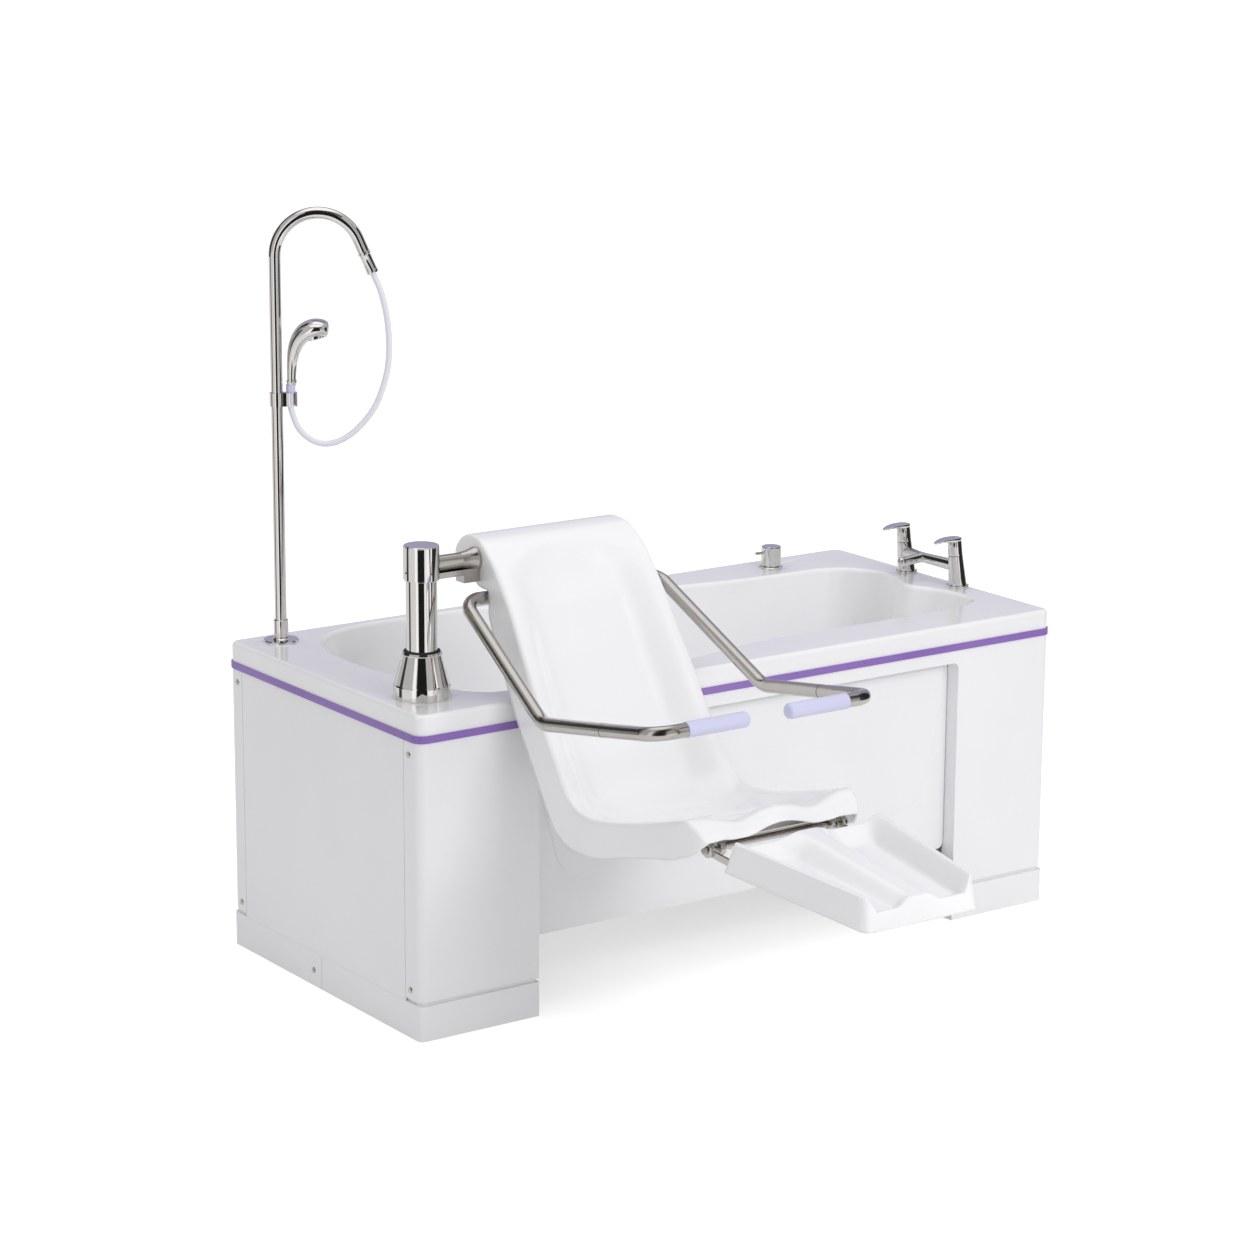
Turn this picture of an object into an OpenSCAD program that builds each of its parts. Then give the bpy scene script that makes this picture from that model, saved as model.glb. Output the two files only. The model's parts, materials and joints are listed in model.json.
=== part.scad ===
/* [Bath shell] */
// Overall length over the rim, head end to tap end
bath_l = 1650; // [1560:1:1750]
// Overall width over the rim
bath_w = 760; // [720:1:820]
// Height of the rim's top face above the floor
rim_h = 675; // [650:1:720]
// Wall of the moulded shell
shell_t = 6; // [5:0.5:8]
// Height of the rim's outer face down to the trim band
lip_h = 41.5; // [36:0.5:50]
// Plan radius of the four outer corners
corner_r = 22; // [18:1:30]
// Rounding of the rim's outer top edge
rim_edge_r = 9; // [6:1:12]
// Depth of the basin from the rim to its floor
basin_depth = 425; // [390:1:430]
// Flat ledge between the head end and the basin
head_ledge = 125; // [118:1:135]
// Flat ledge between the tap end and the basin
foot_ledge = 75; // [68:1:85]
// Flat ledge along the near side at the head end
near_ledge = 80; // [74:1:90]
// Flat ledge along the far side at the head end
far_ledge = 35; // [30:1:45]
// Extra width of the near ledge beside the legs
near_step = 52; // [40:1:60]
// Extra width of the far ledge beside the legs, where the diverter stands
far_step = 120; // [105:1:130]
// Length of the sloped backrest in plan
backrest_run = 250; // [200:5:300]

/* [Trim band] */
// Height of the coloured trim band under the rim
band_h = 15; // [10:0.5:20]
// How far the band stands out from the rim's face
band_proud = 3; // [2:0.5:5]
// Thickness of the band
band_t = 8; // [7:0.5:10]

/* [Surround panels] */
// Thickness of the surround mouldings and panels
panel_t = 4; // [3:0.5:6]
// Depth of the knee recess behind the surround's face
recess_depth = 40; // [30:1:50]
// Distance from the head end to the recess
recess_head = 285; // [240:1:300]
// Distance from the tap end to the recess
recess_foot = 265; // [240:1:300]
// Height of the recess's top edge above the floor
recess_top = 590; // [560:1:600]
// Height of the recessed panel's bottom edge above the floor
recess_bottom = 160; // [130:1:190]
// Corner radius of the recess
recess_r = 14; // [10:1:20]
// Width of each corner post's return round the end of the bath
post_w = 55; // [45:1:70]
// Open joint between neighbouring panels
joint_gap = 1.5; // [1:0.5:3]
// Height of the tub outline pressed into the recessed panel
emboss_h = 2.5; // [1:0.5:4]

/* [Plinth] */
// Height of the plinth
plinth_h = 74; // [60:1:90]
// Shadow gap between the plinth and the corner posts
plinth_gap = 8; // [4:1:12]
// Thickness of the plinth boards
plinth_t = 12; // [8:1:16]
// Offset of the plinth's split from the middle of the end
plinth_split = 8; // [-40:1:40]
// Depth of the plinth's return into the recess
plinth_return = 90; // [60:5:120]

/* [Chassis] */
// Side of the square chassis tube
frame_tube = 35; // [30:1:36]
// Wall of the square chassis tube
frame_wall = 3; // [2:0.5:4]
// Distance from the middle line to each long rail
rail_y = 165; // [140:1:172]
// Radius of a levelling foot
foot_r = 18; // [14:1:24]
// Thickness of a levelling foot's pad
foot_pad_h = 10; // [8:1:14]
// Diameter of a levelling foot's stud
stud_d = 16; // [12:1:20]
// Height of each leg's bottom end above the floor
leg_clear = 40; // [30:1:50]

/* [Seat lift] */
// Column axis from the head end of the bath
column_x_in = 92.5; // [90:0.5:96]
// Column axis from the near side of the bath
column_y_in = 132; // [128:1:140]
// Outer diameter of the lifting tube
column_d = 63.5; // [60:0.5:66]
// Wall of the lifting tube
column_wall = 4; // [3:0.5:5]
// Radial running clearance of the lifting tube
column_fit = 0.08; // [0.05:0.01:0.1]
// Outer diameter of the guide tube under the rim
guide_d = 76; // [74:0.5:78]
// Foot diameter of the bell collar
bell_d = 116; // [110:1:120]
// Top diameter of the bell collar
bell_top_d = 77; // [74:1:84]
// Height of the bell collar's straight foot
bell_foot_h = 29; // [20:1:40]
// Overall height of the bell collar
bell_h = 94; // [80:1:110]
// Clear height of the swivel head above the rim
head_z = 240; // [200:1:260]
// Height of the swivel head
head_h = 70; // [60:1:80]
// Diameter of the swivel head
head_d = 72.5; // [70:0.5:76]
// Diameter of the carrying arm
arm_d = 33; // [30:0.5:36]
// Height of the arm's axis below the swivel head's top
arm_drop = 43; // [38:1:46]
// Diameter of the drive's rod
rod_d = 20; // [16:1:24]
// Outer diameter of the drive's tube
drive_d = 48; // [40:1:52]

/* [Seat] */
// Middle of the seat from the bath's middle, towards the head end
seat_in = 420; // [415:1:425]
// Thickness of the seat moulding
seat_t = 6; // [5:0.5:7]
// Diameter of the drain insert in the seat
drain_d = 46; // [40:1:50]
// Depth of the seat's thigh scoops
scoop = 16; // [10:1:20]
// Thickness of the frame's cut ribs
rib_t = 6; // [5:0.5:8]
// Width of the frame's cut ribs
rib_w = 30; // [24:1:36]
// Distance of each rib from the seat's middle
rib_off = 96; // [88:1:104]

/* [Armrests] */
// Outer diameter of the armrest tube
rest_d = 28; // [25:0.5:30]
// Wall of the armrest tube
rest_wall = 4; // [3:0.5:5]
// Length of each grip
grip_l = 143; // [120:1:150]
// Outer diameter of each grip
grip_d = 31; // [30:0.5:34]

/* [Footrest] */
// Half width of the footrest at its rear
foot_w_rear = 176; // [165:1:185]
// Half width of the footrest at its front
foot_w_front = 128; // [118:1:140]
// Length of the footrest tray
foot_l = 330; // [300:1:340]
// Height of the tray's side wall
foot_h = 62; // [55:1:70]
// Depth of the two leg channels
foot_channel = 38; // [28:1:42]
// Wall of the footrest moulding
foot_t = 5; // [4:0.5:6]

/* [Shower] */
// Riser axis from the head end of the bath
riser_x_in = 91; // [80:1:100]
// Riser axis from the far side of the bath
riser_y_in = 66; // [56:1:80]
// Outer diameter of the riser tube
riser_d = 25; // [22:0.5:28]
// Straight height of the riser above the rim
riser_straight = 819; // [700:1:900]
// Centre line radius of the swan neck
neck_r = 90; // [80:1:100]
// Turn of the swan neck about the riser, towards the near side
neck_turn = 30; // [10:1:50]
// Diameter of the shower hose
hose_d = 13; // [11:0.5:14]
// Distance from the riser to the handset's cup
cup_off = 29; // [28:0.5:34]
// Height of the handset's holder above the rim
holder_z = 505; // [480:1:520]
// Height of the handset's holder
holder_h = 29; // [24:1:34]

/* [Bath filler] */
// Distance between the hot and cold pillars
pillar_pitch = 182; // [178:1:190]
// Filler axis from the tap end of the bath
filler_in = 25.5; // [25:0.5:32]
// Diameter of each pillar's foot
pillar_d = 43; // [38:1:46]
// Lean of the pillars towards the basin
pillar_lean = 7; // [0:1:9]
// Height of each pillar's body up to the lever
pillar_h = 74; // [66:1:80]
// Height of each lever
lever_h = 40; // [34:1:46]
// Reach of each lever's blade from the pillar's axis
lever_reach = 60; // [50:1:70]
// Reach of the spout from the pillars
spout_reach = 86; // [70:1:95]
// Thread diameter of the tap and shower tails
tail_d = 26.4; // [20:0.1:27]
// Length of the tap tails below the rim
tail_l = 60; // [45:1:80]

/* [Diverter] */
// Diverter axis from the tap end of the bath
diverter_x_in = 260; // [240:1:280]
// Diverter axis from the far side of the bath
diverter_y_in = 79; // [70:1:90]
// Diameter of the diverter's body
diverter_d = 46; // [40:1:52]
// Height of the diverter above the rim
diverter_h = 52; // [44:1:60]

/* [Waste] */
// Waste axis from the tap end of the bath
waste_in = 330; // [300:1:360]
// Diameter of the waste's grate
waste_d = 70; // [60:1:76]
// Outer diameter of the trap's outlet pipe
outlet_d = 43; // [40:0.5:44]

/* [Hidden] */
$fn = 48;
seat_gap = 0.3;

// Places that several pieces share
top_in = rim_h - shell_t;
band_top = rim_h - lip_h;
panel_top = band_top - band_h;
post_bottom = plinth_h + plinth_gap;
hx = -bath_l / 2;
fx = bath_l / 2;
ny = -bath_w / 2;
fy = bath_w / 2;
col = [hx + column_x_in, ny + column_y_in];
ris = [hx + riser_x_in, fy - riser_y_in];
fil_x = fx - filler_in;
div = [fx - diverter_x_in, fy - diverter_y_in];
wst_x = fx - waste_in;
floor_z = rim_h - basin_depth;
leg_x = bath_l / 2 - max(frame_tube / 2 + panel_t + 10, plinth_t + foot_r + 1.5);
leg_y = bath_w / 2 - max(frame_tube / 2 + 20, plinth_t + foot_r + 1.5);
rail_z = floor_z - shell_t - 8 - frame_tube;
white = [0.94, 0.94, 0.95];
purple = [0.56, 0.43, 0.73];
chrome = [0.75, 0.76, 0.78];
steel = [0.62, 0.60, 0.58];
lilac = [0.81, 0.82, 0.95];
dark = [0.25, 0.25, 0.27];

// Small helpers on lists
function mix(a, b, f) = a + (b - a) * f;
function clamp01(v) = max(0, min(1, v));
function smooth(a, b, v) = let (u = clamp01((v - a) / (b - a))) u * u * (3 - 2 * u);
function unit(v) = v / norm(v);
function cat(ls) = [for (l = ls) for (p = l) p];
function cm(a, b, c, d, t) = 0.5 * ((2 * b) + (c - a) * t + (2 * a - 5 * b + 4 * c - d) * t * t
    + (3 * b - a - 3 * c + d) * t * t * t);
// A smooth closed line through points, k steps a span
function closed_curve(p, k) = let (n = len(p))
    [for (i = [0:n - 1]) for (j = [0:k - 1])
        cm(p[(i + n - 1) % n], p[i], p[(i + 1) % n], p[(i + 2) % n], j / k)];
// A smooth open line through rows of numbers, k steps a span
function open_curve(p, k) = let (n = len(p))
    concat([for (i = [0:n - 2]) for (j = [0:k - 1])
        cm(p[max(i - 1, 0)], p[i], p[i + 1], p[min(i + 2, n - 1)], j / k)], [p[n - 1]]);
// A closed plan line moved outward by d, for lines that run anticlockwise
function off_line(p, d) = let (n = len(p)) [for (i = [0:n - 1])
    let (t = unit(p[(i + 1) % n] - p[(i + n - 1) % n])) p[i] + d * [t[1], -t[0]]];
function at_z(p, z) = [for (q = p) [q[0], q[1], z]];
// Plan of a rounded rectangle, anticlockwise
function round_rect(l, w, r, k) = [for (c = [[1, 1, 0], [-1, 1, 90], [-1, -1, 180], [1, -1, 270]])
    for (j = [0:k]) [c[0] * (l / 2 - r), c[1] * (w / 2 - r)]
        + r * [cos(c[2] + j * 90 / k), sin(c[2] + j * 90 / k)]];
// Triangles between rings of n points, ring a to ring a + 1
function skin(rings, n) = [for (a = [0:rings - 2]) for (i = [0:n - 1]) for (h = [0, 1])
    let (p = a * n + i, q = a * n + (i + 1) % n)
    h == 0 ? [p, p + n, q] : [q, p + n, q + n]];
// A solid through closed rings of equal count, lowest first
module loft(rings) {
    n = len(rings[0]);
    m = len(rings);
    polyhedron(points = cat(rings), faces = concat(skin(m, n),
        [[for (i = [0:n - 1]) i]], [[for (i = [n - 1:-1:0]) (m - 1) * n + i]]));
}
// A walled moulding between two grids of points, the first on its outer face
module sheet(outer, inner) {
    m = len(outer);
    k = len(outer[0]);
    o = m * k;
    polyhedron(points = cat(concat(outer, inner)), faces = concat(
        [for (i = [0:m - 2]) for (j = [0:k - 2]) for (h = [0, 1]) let (p = i * k + j, q = p + k)
            h == 0 ? [p, p + 1, q] : [p + 1, q + 1, q]],
        [for (i = [0:m - 2]) for (j = [0:k - 2]) for (h = [0, 1]) let (p = o + i * k + j, q = p + k)
            h == 0 ? [p, q, p + 1] : [p + 1, q, q + 1]],
        [for (i = [0:m - 2]) for (h = [0, 1]) let (p = i * k, q = p + k)
            h == 0 ? [p, q, o + p] : [q, o + q, o + p]],
        [for (i = [0:m - 2]) for (h = [0, 1]) let (p = i * k + k - 1, q = p + k)
            h == 0 ? [p, o + p, q] : [q, o + p, o + q]],
        [for (j = [0:k - 2]) for (h = [0, 1]) let (p = j, q = j + 1)
            h == 0 ? [p, o + p, q] : [q, o + p, o + q]],
        [for (j = [0:k - 2]) for (h = [0, 1]) let (p = (m - 1) * k + j, q = p + 1)
            h == 0 ? [p, q, o + p] : [q, o + q, o + p]]));
}
// A straight bar or tube from a to b
module bar(a, b, d, bore = 0) {
    v = b - a;
    l = norm(v);
    translate(a) rotate([0, acos(v[2] / l), atan2(v[1], v[0])]) difference() {
        cylinder(d = d, h = l);
        if (bore > 0) translate([0, 0, -1]) cylinder(d = bore, h = l + 2);
    }
}
// One bend of a rod at corner p, between directions u and w, a hair proud of the straights
bend_proud = 0.2;
module bend(p, u, w, r, d) {
    turn = acos(u * w);
    n = unit(w - (u * w) * u);
    ax = -n;
    az = cross(ax, u);
    translate(p - u * r * tan(turn / 2) + n * r)
        rotate([atan2(u[2], az[2]), -asin(ax[2]), atan2(ax[1], ax[0])])
            rotate_extrude(angle = turn, $fn = 96) translate([r, 0]) circle(d = d + bend_proud);
}
// A round rod bent at the inner points of a path, radius r at each, its ends reaching on by e
module bent_rod(p, r, d, e = 0) {
    n = len(p);
    lap = 0.5;
    dir = [for (i = [0:n - 2]) unit(p[i + 1] - p[i])];
    cut = [for (i = [0:n - 1]) i == 0 || i == n - 1 ? -e
        : r[i] * tan(acos(dir[i - 1] * dir[i]) / 2) - lap];
    for (i = [0:n - 2]) bar(p[i] + dir[i] * cut[i], p[i + 1] - dir[i] * cut[i + 1], d);
    for (i = [1:n - 2]) bend(p[i], dir[i - 1], dir[i], r[i], d);
}
module bent_tube(p, r, d, bore) {
    difference() {
        bent_rod(p, r, d);
        bent_rod(p, r, bore, 1);
    }
}
module box_at(a, b) {
    translate(a) cube(b - a);
}

// The basin's edge in plan, from the near side at the head end round anticlockwise
xh = hx + head_ledge;
xf = fx - foot_ledge;
yn = ny + near_ledge;
yf = fy - far_ledge;
yn2 = yn + near_step;
yf2 = yf - far_step;
basin_edge = [[xh + 138, yn + 5], [xh + 330, yn], [xh + 560, yn + 4], [xh + 770, yn2 - 6],
    [xf - 570, yn2], [xf - 420, yn2], [xf - 230, yn2 + 1], [xf - 90, yn2 + 9], [xf - 32, yn2 + 23],
    [xf - 8, yn2 + 50], [xf, yn2 + 103], [xf - 14, yn2 + 172], [xf - 39, yn2 + 228], [xf - 31, yn2 + 272],
    [xf - 15, yf2 - 164], [xf - 4, yf2 - 120], [xf - 11, yf2 - 84], [xf - 30, yf2 - 46],
    [xf - 66, yf2 - 16], [xf - 105, yf2 - 3], [xf - 150, yf2], [xf - 235, yf2 + 4], [xf - 325, yf2 + 12],
    [xf - 480, yf2 + 38], [xh + 800, yf - 52], [xh + 600, yf - 22], [xh + 450, yf - 7],
    [xh + 290, yf], [xh + 170, yf - 4], [xh + 84, yf - 36], [xh + 36, yf - 90], [xh + 11, yf - 160],
    [xh + 1, yf - 245], [xh + 4, yn + 320], [xh + 16, yn + 240], [xh + 32, yn + 165], [xh + 50, yn + 85],
    [xh + 84, yn + 28]];
edge_line = closed_curve(basin_edge, 2);
basin_mid = (yn2 + yf2) / 2;
floor_x0 = xh + backrest_run;
floor_x1 = xf - 110;
// Flutes in the far wall beside the legs deepen towards the floor
function flute(x) = smooth(xf - 245, xf - 232, x) * (1 - smooth(xf - 128, xf - 112, x));
floor_line = [for (p = edge_line) [mix(floor_x0, floor_x1, (p[0] - xh) / (xf - xh)),
    basin_mid + (p[1] - basin_mid) * 0.62]];
// Share of the way from the rim's line to the floor's line, by depth
basin_steps = [[0, 1.0], [0.012, 0.80], [0.05, 0.60], [0.13, 0.44], [0.30, 0.31], [0.55, 0.20], [0.80, 0.11],
    [0.97, 0]];
function basin_ring(f) = [for (i = [0:len(edge_line) - 1]) mix(edge_line[i], floor_line[i], f)
    + [0, edge_line[i][1] > 0 ? 26 * f * flute(edge_line[i][0]) : 0]];

module basin_void() {
    loft(concat(
        [for (s = basin_steps) at_z(basin_ring(s[1]), floor_z + basin_depth * s[0])],
        [at_z(off_line(edge_line, 2.5), rim_h - 2.5), at_z(off_line(edge_line, 9), rim_h),
        at_z(off_line(edge_line, 9), rim_h + 5)]));
}

module tub() {
    e = rim_edge_r;
    color(white) difference() {
        union() {
            difference() {
                loft([for (s = [[band_top, 0], [rim_h - e, 0], [rim_h - 0.6 * e, 0.083 * e],
                        [rim_h - 0.28 * e, 0.306 * e], [rim_h - 0.08 * e, 0.6 * e], [rim_h, e]])
                    at_z(round_rect(bath_l - 2 * s[1], bath_w - 2 * s[1], corner_r, 6), s[0])]);
                translate([0, 0, band_top - 1]) linear_extrude(top_in - band_top + 1)
                    polygon(round_rect(bath_l - 2 * shell_t, bath_w - 2 * shell_t, corner_r - shell_t, 6));
            }
            loft(concat([for (s = basin_steps) at_z(off_line(basin_ring(s[1]), shell_t),
                floor_z - shell_t + (basin_depth) * s[0])], [at_z(off_line(edge_line, shell_t), top_in + 1)]));
        }
        basin_void();
        translate([col[0], col[1], top_in - 5]) cylinder(d = column_d + 4, h = 20);
        translate([ris[0], ris[1], top_in - 5]) cylinder(d = tail_d + 1.6, h = 20);
        for (s = [-1, 1]) translate([fil_x, s * pillar_pitch / 2, top_in - 5])
            cylinder(d = tail_d + 1.6, h = 20);
        translate([div[0], div[1], top_in - 5]) cylinder(d = diverter_d - 11, h = 20);
        translate([wst_x, 0, floor_z - 20]) cylinder(d = waste_d - 22, h = 40);
    }
}

module trim_band() {
    color(purple) translate([0, 0, panel_top]) linear_extrude(band_h) difference() {
        polygon(round_rect(bath_l + 2 * band_proud, bath_w + 2 * band_proud, corner_r + band_proud, 6));
        polygon(round_rect(bath_l + 2 * band_proud - 2 * band_t, bath_w + 2 * band_proud - 2 * band_t,
            corner_r + band_proud - band_t, 6));
    }
}

// Plan of the thin wall that stands under the band, cut to the near side
module wall_plan(t, r, y_cut) {
    intersection() {
        difference() {
            translate([hx, ny]) hull_rect(bath_l, bath_w, r);
            translate([hx + t, ny + t]) hull_rect(bath_l - 2 * t, bath_w - 2 * t, r - t);
        }
        translate([hx - 1, ny - 1]) square([bath_l + 2, y_cut - ny + 1]);
    }
}
// A rectangle with true round corners
module hull_rect(l, w, r) {
    translate([r, 0]) square([l - 2 * r, w]);
    translate([0, r]) square([l, w - 2 * r]);
    for (x = [r, l - r]) for (y = [r, w - r]) translate([x, y]) circle(r);
}
rec_x0 = hx + recess_head;
rec_x1 = fx - recess_foot;
rec_l = rec_x1 - rec_x0;
// The opening of the recess seen from the front, grown by g
module recess_shape(g) {
    translate([rec_x0 - g, 0]) square([rec_l + 2 * g, recess_top - recess_r]);
    translate([rec_x0 + recess_r, 0]) square([rec_l - 2 * recess_r, recess_top + g]);
    for (x = [rec_x0 + recess_r, rec_x1 - recess_r]) translate([x, recess_top - recess_r])
        circle(recess_r + g);
}
module surround() {
    difference() {
        translate([0, 0, post_bottom]) linear_extrude(panel_top - post_bottom)
            wall_plan(panel_t, corner_r, ny + post_w);
        translate([0, ny + panel_t + 1, 0]) rotate([90, 0, 0]) linear_extrude(panel_t + 2) recess_shape(0);
    }
    difference() {
        translate([0, ny + recess_depth, 0]) rotate([90, 0, 0]) linear_extrude(recess_depth - panel_t)
            difference() {
                recess_shape(panel_t);
                recess_shape(0);
            }
        box_at([hx, ny - 1, -1], [fx, ny + recess_depth + 1, post_bottom]);
    }
}
module surround_near() { color(white) surround(); }
module surround_far() { color(white) mirror([0, 1, 0]) surround(); }

// The recessed panel, with the tub's outline standing out of it
module recess_panel() {
    g = joint_gap;
    z0 = recess_bottom;
    z1 = recess_top - seat_gap;
    x0 = rec_x0 + g;
    x1 = rec_x1 - g;
    r = recess_r + 2;
    translate([0, ny + recess_depth, 0]) rotate([90, 0, 0]) {
        linear_extrude(panel_t) union() {
            translate([x0, z0 + r]) square([x1 - x0, z1 - z0 - r - recess_r]);
            translate([x0 + r, z0]) square([x1 - x0 - 2 * r, z1 - z0]);
            for (x = [x0 + r, x1 - r]) translate([x, z0 + r]) circle(r);
            for (x = [x0 + recess_r, x1 - recess_r]) translate([x, z1 - recess_r]) circle(recess_r);
        }
        hull() {
            linear_extrude(panel_t + emboss_h * 0.4) tub_outline(0);
            linear_extrude(panel_t + emboss_h) tub_outline(4);
        }
    }
}
module tub_outline(g) {
    a = rec_x0 + 18 + g;
    b = rec_x1 - 12 - g;
    z = recess_top - 12 - g;
    polygon([[a, z], [a + 4, z - 80], [a + 22, z - 170], [a + 52, z - 270], [a + 84, z - 306 + g],
        [a + 130, z - 318 + g], [b - 130, z - 318 + g], [b - 84, z - 306 + g], [b - 52, z - 270],
        [b - 22, z - 170], [b - 4, z - 80], [b, z]]);
}
module recess_panel_near() { color(white) recess_panel(); }
module recess_panel_far() { color(white) mirror([0, 1, 0]) recess_panel(); }

module end_panel() {
    y = bath_w / 2 - post_w - joint_gap;
    box_at([hx, -y, plinth_h + seat_gap], [hx + panel_t, y, panel_top]);
}
module end_panel_head() { color(white) end_panel(); }
module end_panel_foot() { color(white) mirror([1, 0, 0]) end_panel(); }

// Plan of a plinth board round one corner of the near side, its outer face set in by g
module plinth_plan(x_in, y_cut, g) {
    difference() {
        intersection() {
            translate([hx + g, ny + g]) hull_rect(bath_l - 2 * g, bath_w - 2 * g, 12 + g / 3);
            translate([hx - 1, ny - 1]) square([x_in + 1 - g, y_cut - ny + 1]);
        }
        translate([hx + plinth_t, ny + plinth_t]) square([bath_l, bath_w]);
    }
    translate([hx + x_in - plinth_t, ny + g]) square([plinth_t - g, plinth_return - g]);
}
// The board, x_in along the side and y_cut along the end, with a tongue that stands up behind the posts
tongue_in = 6;
tongue_h = 14;
module plinth_corner(x_in, y_cut) {
    linear_extrude(plinth_h) plinth_plan(x_in, y_cut, 0);
    linear_extrude(plinth_h + tongue_h) plinth_plan(x_in, y_cut, tongue_in);
}
module plinth_head_near() {
    color(white) plinth_corner(recess_head, plinth_split - joint_gap / 2);
}
module plinth_head_far() {
    color(white) mirror([0, 1, 0]) plinth_corner(recess_head, -plinth_split - joint_gap / 2);
}
module plinth_foot_near() {
    color(white) mirror([1, 0, 0]) plinth_corner(recess_foot, plinth_split - joint_gap / 2);
}
module plinth_foot_far() {
    color(white) mirror([1, 0, 0]) mirror([0, 1, 0])
        plinth_corner(recess_foot, -plinth_split - joint_gap / 2);
}

// Round screw heads in the end posts and the plinth, with their shanks behind the board
screw_y = bath_w / 2 - post_w * 0.66;
module screw(x, y, z, t) {
    translate([x, y, z]) rotate([0, -90, 0]) cylinder(d1 = 13, d2 = 10, h = 2.5);
}
module panel_screws() {
    color(steel) for (m = [0, 1]) mirror([m, 0, 0]) {
        for (s = [-1, 1]) for (z = [post_bottom + 20, panel_top - 28]) screw(hx, s * screw_y, z, panel_t);
        screw(hx, plinth_split + 32, plinth_h * 0.46, plinth_t);
    }
}

// A square tube from a along its length l on axis 0, 1 or 2, centred on the other two
module square_tube(c, axis, l) {
    rot = axis == 0 ? [0, 90, 0] : axis == 1 ? [-90, 0, 0] : [0, 0, 0];
    translate(c) rotate(rot) translate([0, 0, -l / 2]) linear_extrude(l) difference() {
        square(frame_tube, center = true);
        square(frame_tube - 2 * frame_wall, center = true);
    }
}
cross_z = leg_clear + 50;
// One upright frame across the head end: two legs and two cross bars
module end_frame() {
    ft = frame_tube;
    for (sy = [-1, 1]) translate([-leg_x, sy * leg_y, leg_clear]) {
        linear_extrude(top_in - leg_clear) difference() {
            square(ft, center = true);
            square(ft - 2 * frame_wall, center = true);
        }
        difference() {
            translate([-ft / 2, -ft / 2, 0]) cube([ft, ft, 5]);
            translate([0, 0, -1]) cylinder(d = stud_d + 0.4, h = 8);
        }
    }
    for (z = [cross_z, rail_z + ft / 2]) square_tube([-leg_x, 0, z], 1, 2 * leg_y - ft);
}
module frame_head() { color(steel) end_frame(); }
module frame_foot() { color(steel) mirror([1, 0, 0]) end_frame(); }
module frame_rails() {
    ft = frame_tube;
    color(steel) {
        for (sy = [-1, 1]) square_tube([0, sy * rail_y, rail_z + ft / 2], 0, 2 * leg_x - ft);
        square_tube([0, 0, rail_z + ft / 2], 1, 2 * rail_y - ft);
    }
}
module foot_at(x, y, top) {
    translate([x, y, 0]) {
        cylinder(r = foot_r, h = foot_pad_h);
        cylinder(d = stud_d, h = top);
        translate([0, 0, foot_pad_h]) cylinder(d = stud_d + 12, h = 10, $fn = 6);
    }
}
module levelling_feet() {
    color(dark) for (sx = [-1, 1]) for (sy = [-1, 1])
        foot_at(sx * leg_x, sy * leg_y, leg_clear + 40);
}
module shell_pads() {
    color(dark) for (x = [-150, 150]) for (s = [-1, 1])
        translate([x, s * (rail_y - 20), 0]) pad_block();
}
module pad_block() {
    box_at([-30, -14, rail_z + frame_tube], [30, 14, floor_z - shell_t]);
}

module waste() {
    w = waste_d;
    color(chrome) translate([wst_x, 0, floor_z]) {
        difference() {
            union() {
                cylinder(d1 = w, d2 = w - 4, h = 2.5);
                translate([0, 0, -45]) cylinder(d = w - 23, h = 45 + 1);
            }
            translate([0, 0, -50]) cylinder(d = w - 30, h = 49);
            for (a = [0:45:315]) rotate(a) translate([w * 0.17, 0, -2]) cylinder(d = w * 0.08, h = 8, $fn = 16);
            translate([0, 0, -2]) cylinder(d = w * 0.1, h = 8, $fn = 16);
        }
        translate([0, 0, -shell_t - 12]) difference() {
            cylinder(d = w - 6, h = 12);
            translate([0, 0, -1]) cylinder(d = w - 23.2, h = 14);
        }
    }
}
trap_z = floor_z - 90;
module trap() {
    w = waste_d;
    color(dark) translate([wst_x, 0, 0]) {
        difference() {
            union() {
                translate([0, 0, trap_z - 62]) cylinder(d = 72, h = 92);
                translate([0, 0, trap_z + 25]) cylinder(d = w - 8, h = 32);
            }
            translate([0, 0, trap_z - 58]) cylinder(d = 64, h = 80);
            translate([0, 0, trap_z]) cylinder(d = w - 22.4, h = 90);
            translate([0, 0, trap_z]) rotate([-90, 0, 0]) cylinder(d = outlet_d - 5, h = 60);
        }
        translate([0, 0, trap_z]) rotate([-90, 0, 0]) difference() {
            union() {
                cylinder(d = outlet_d, h = 150);
                cylinder(d = outlet_d + 8, h = 45);
            }
            translate([0, 0, -1]) cylinder(d = outlet_d - 5, h = 152);
            translate([0, 0, 0]) rotate([90, 0, 0]) translate([0, 0, -60]) cylinder(d = 71, h = 120);
        }
    }
}

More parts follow.
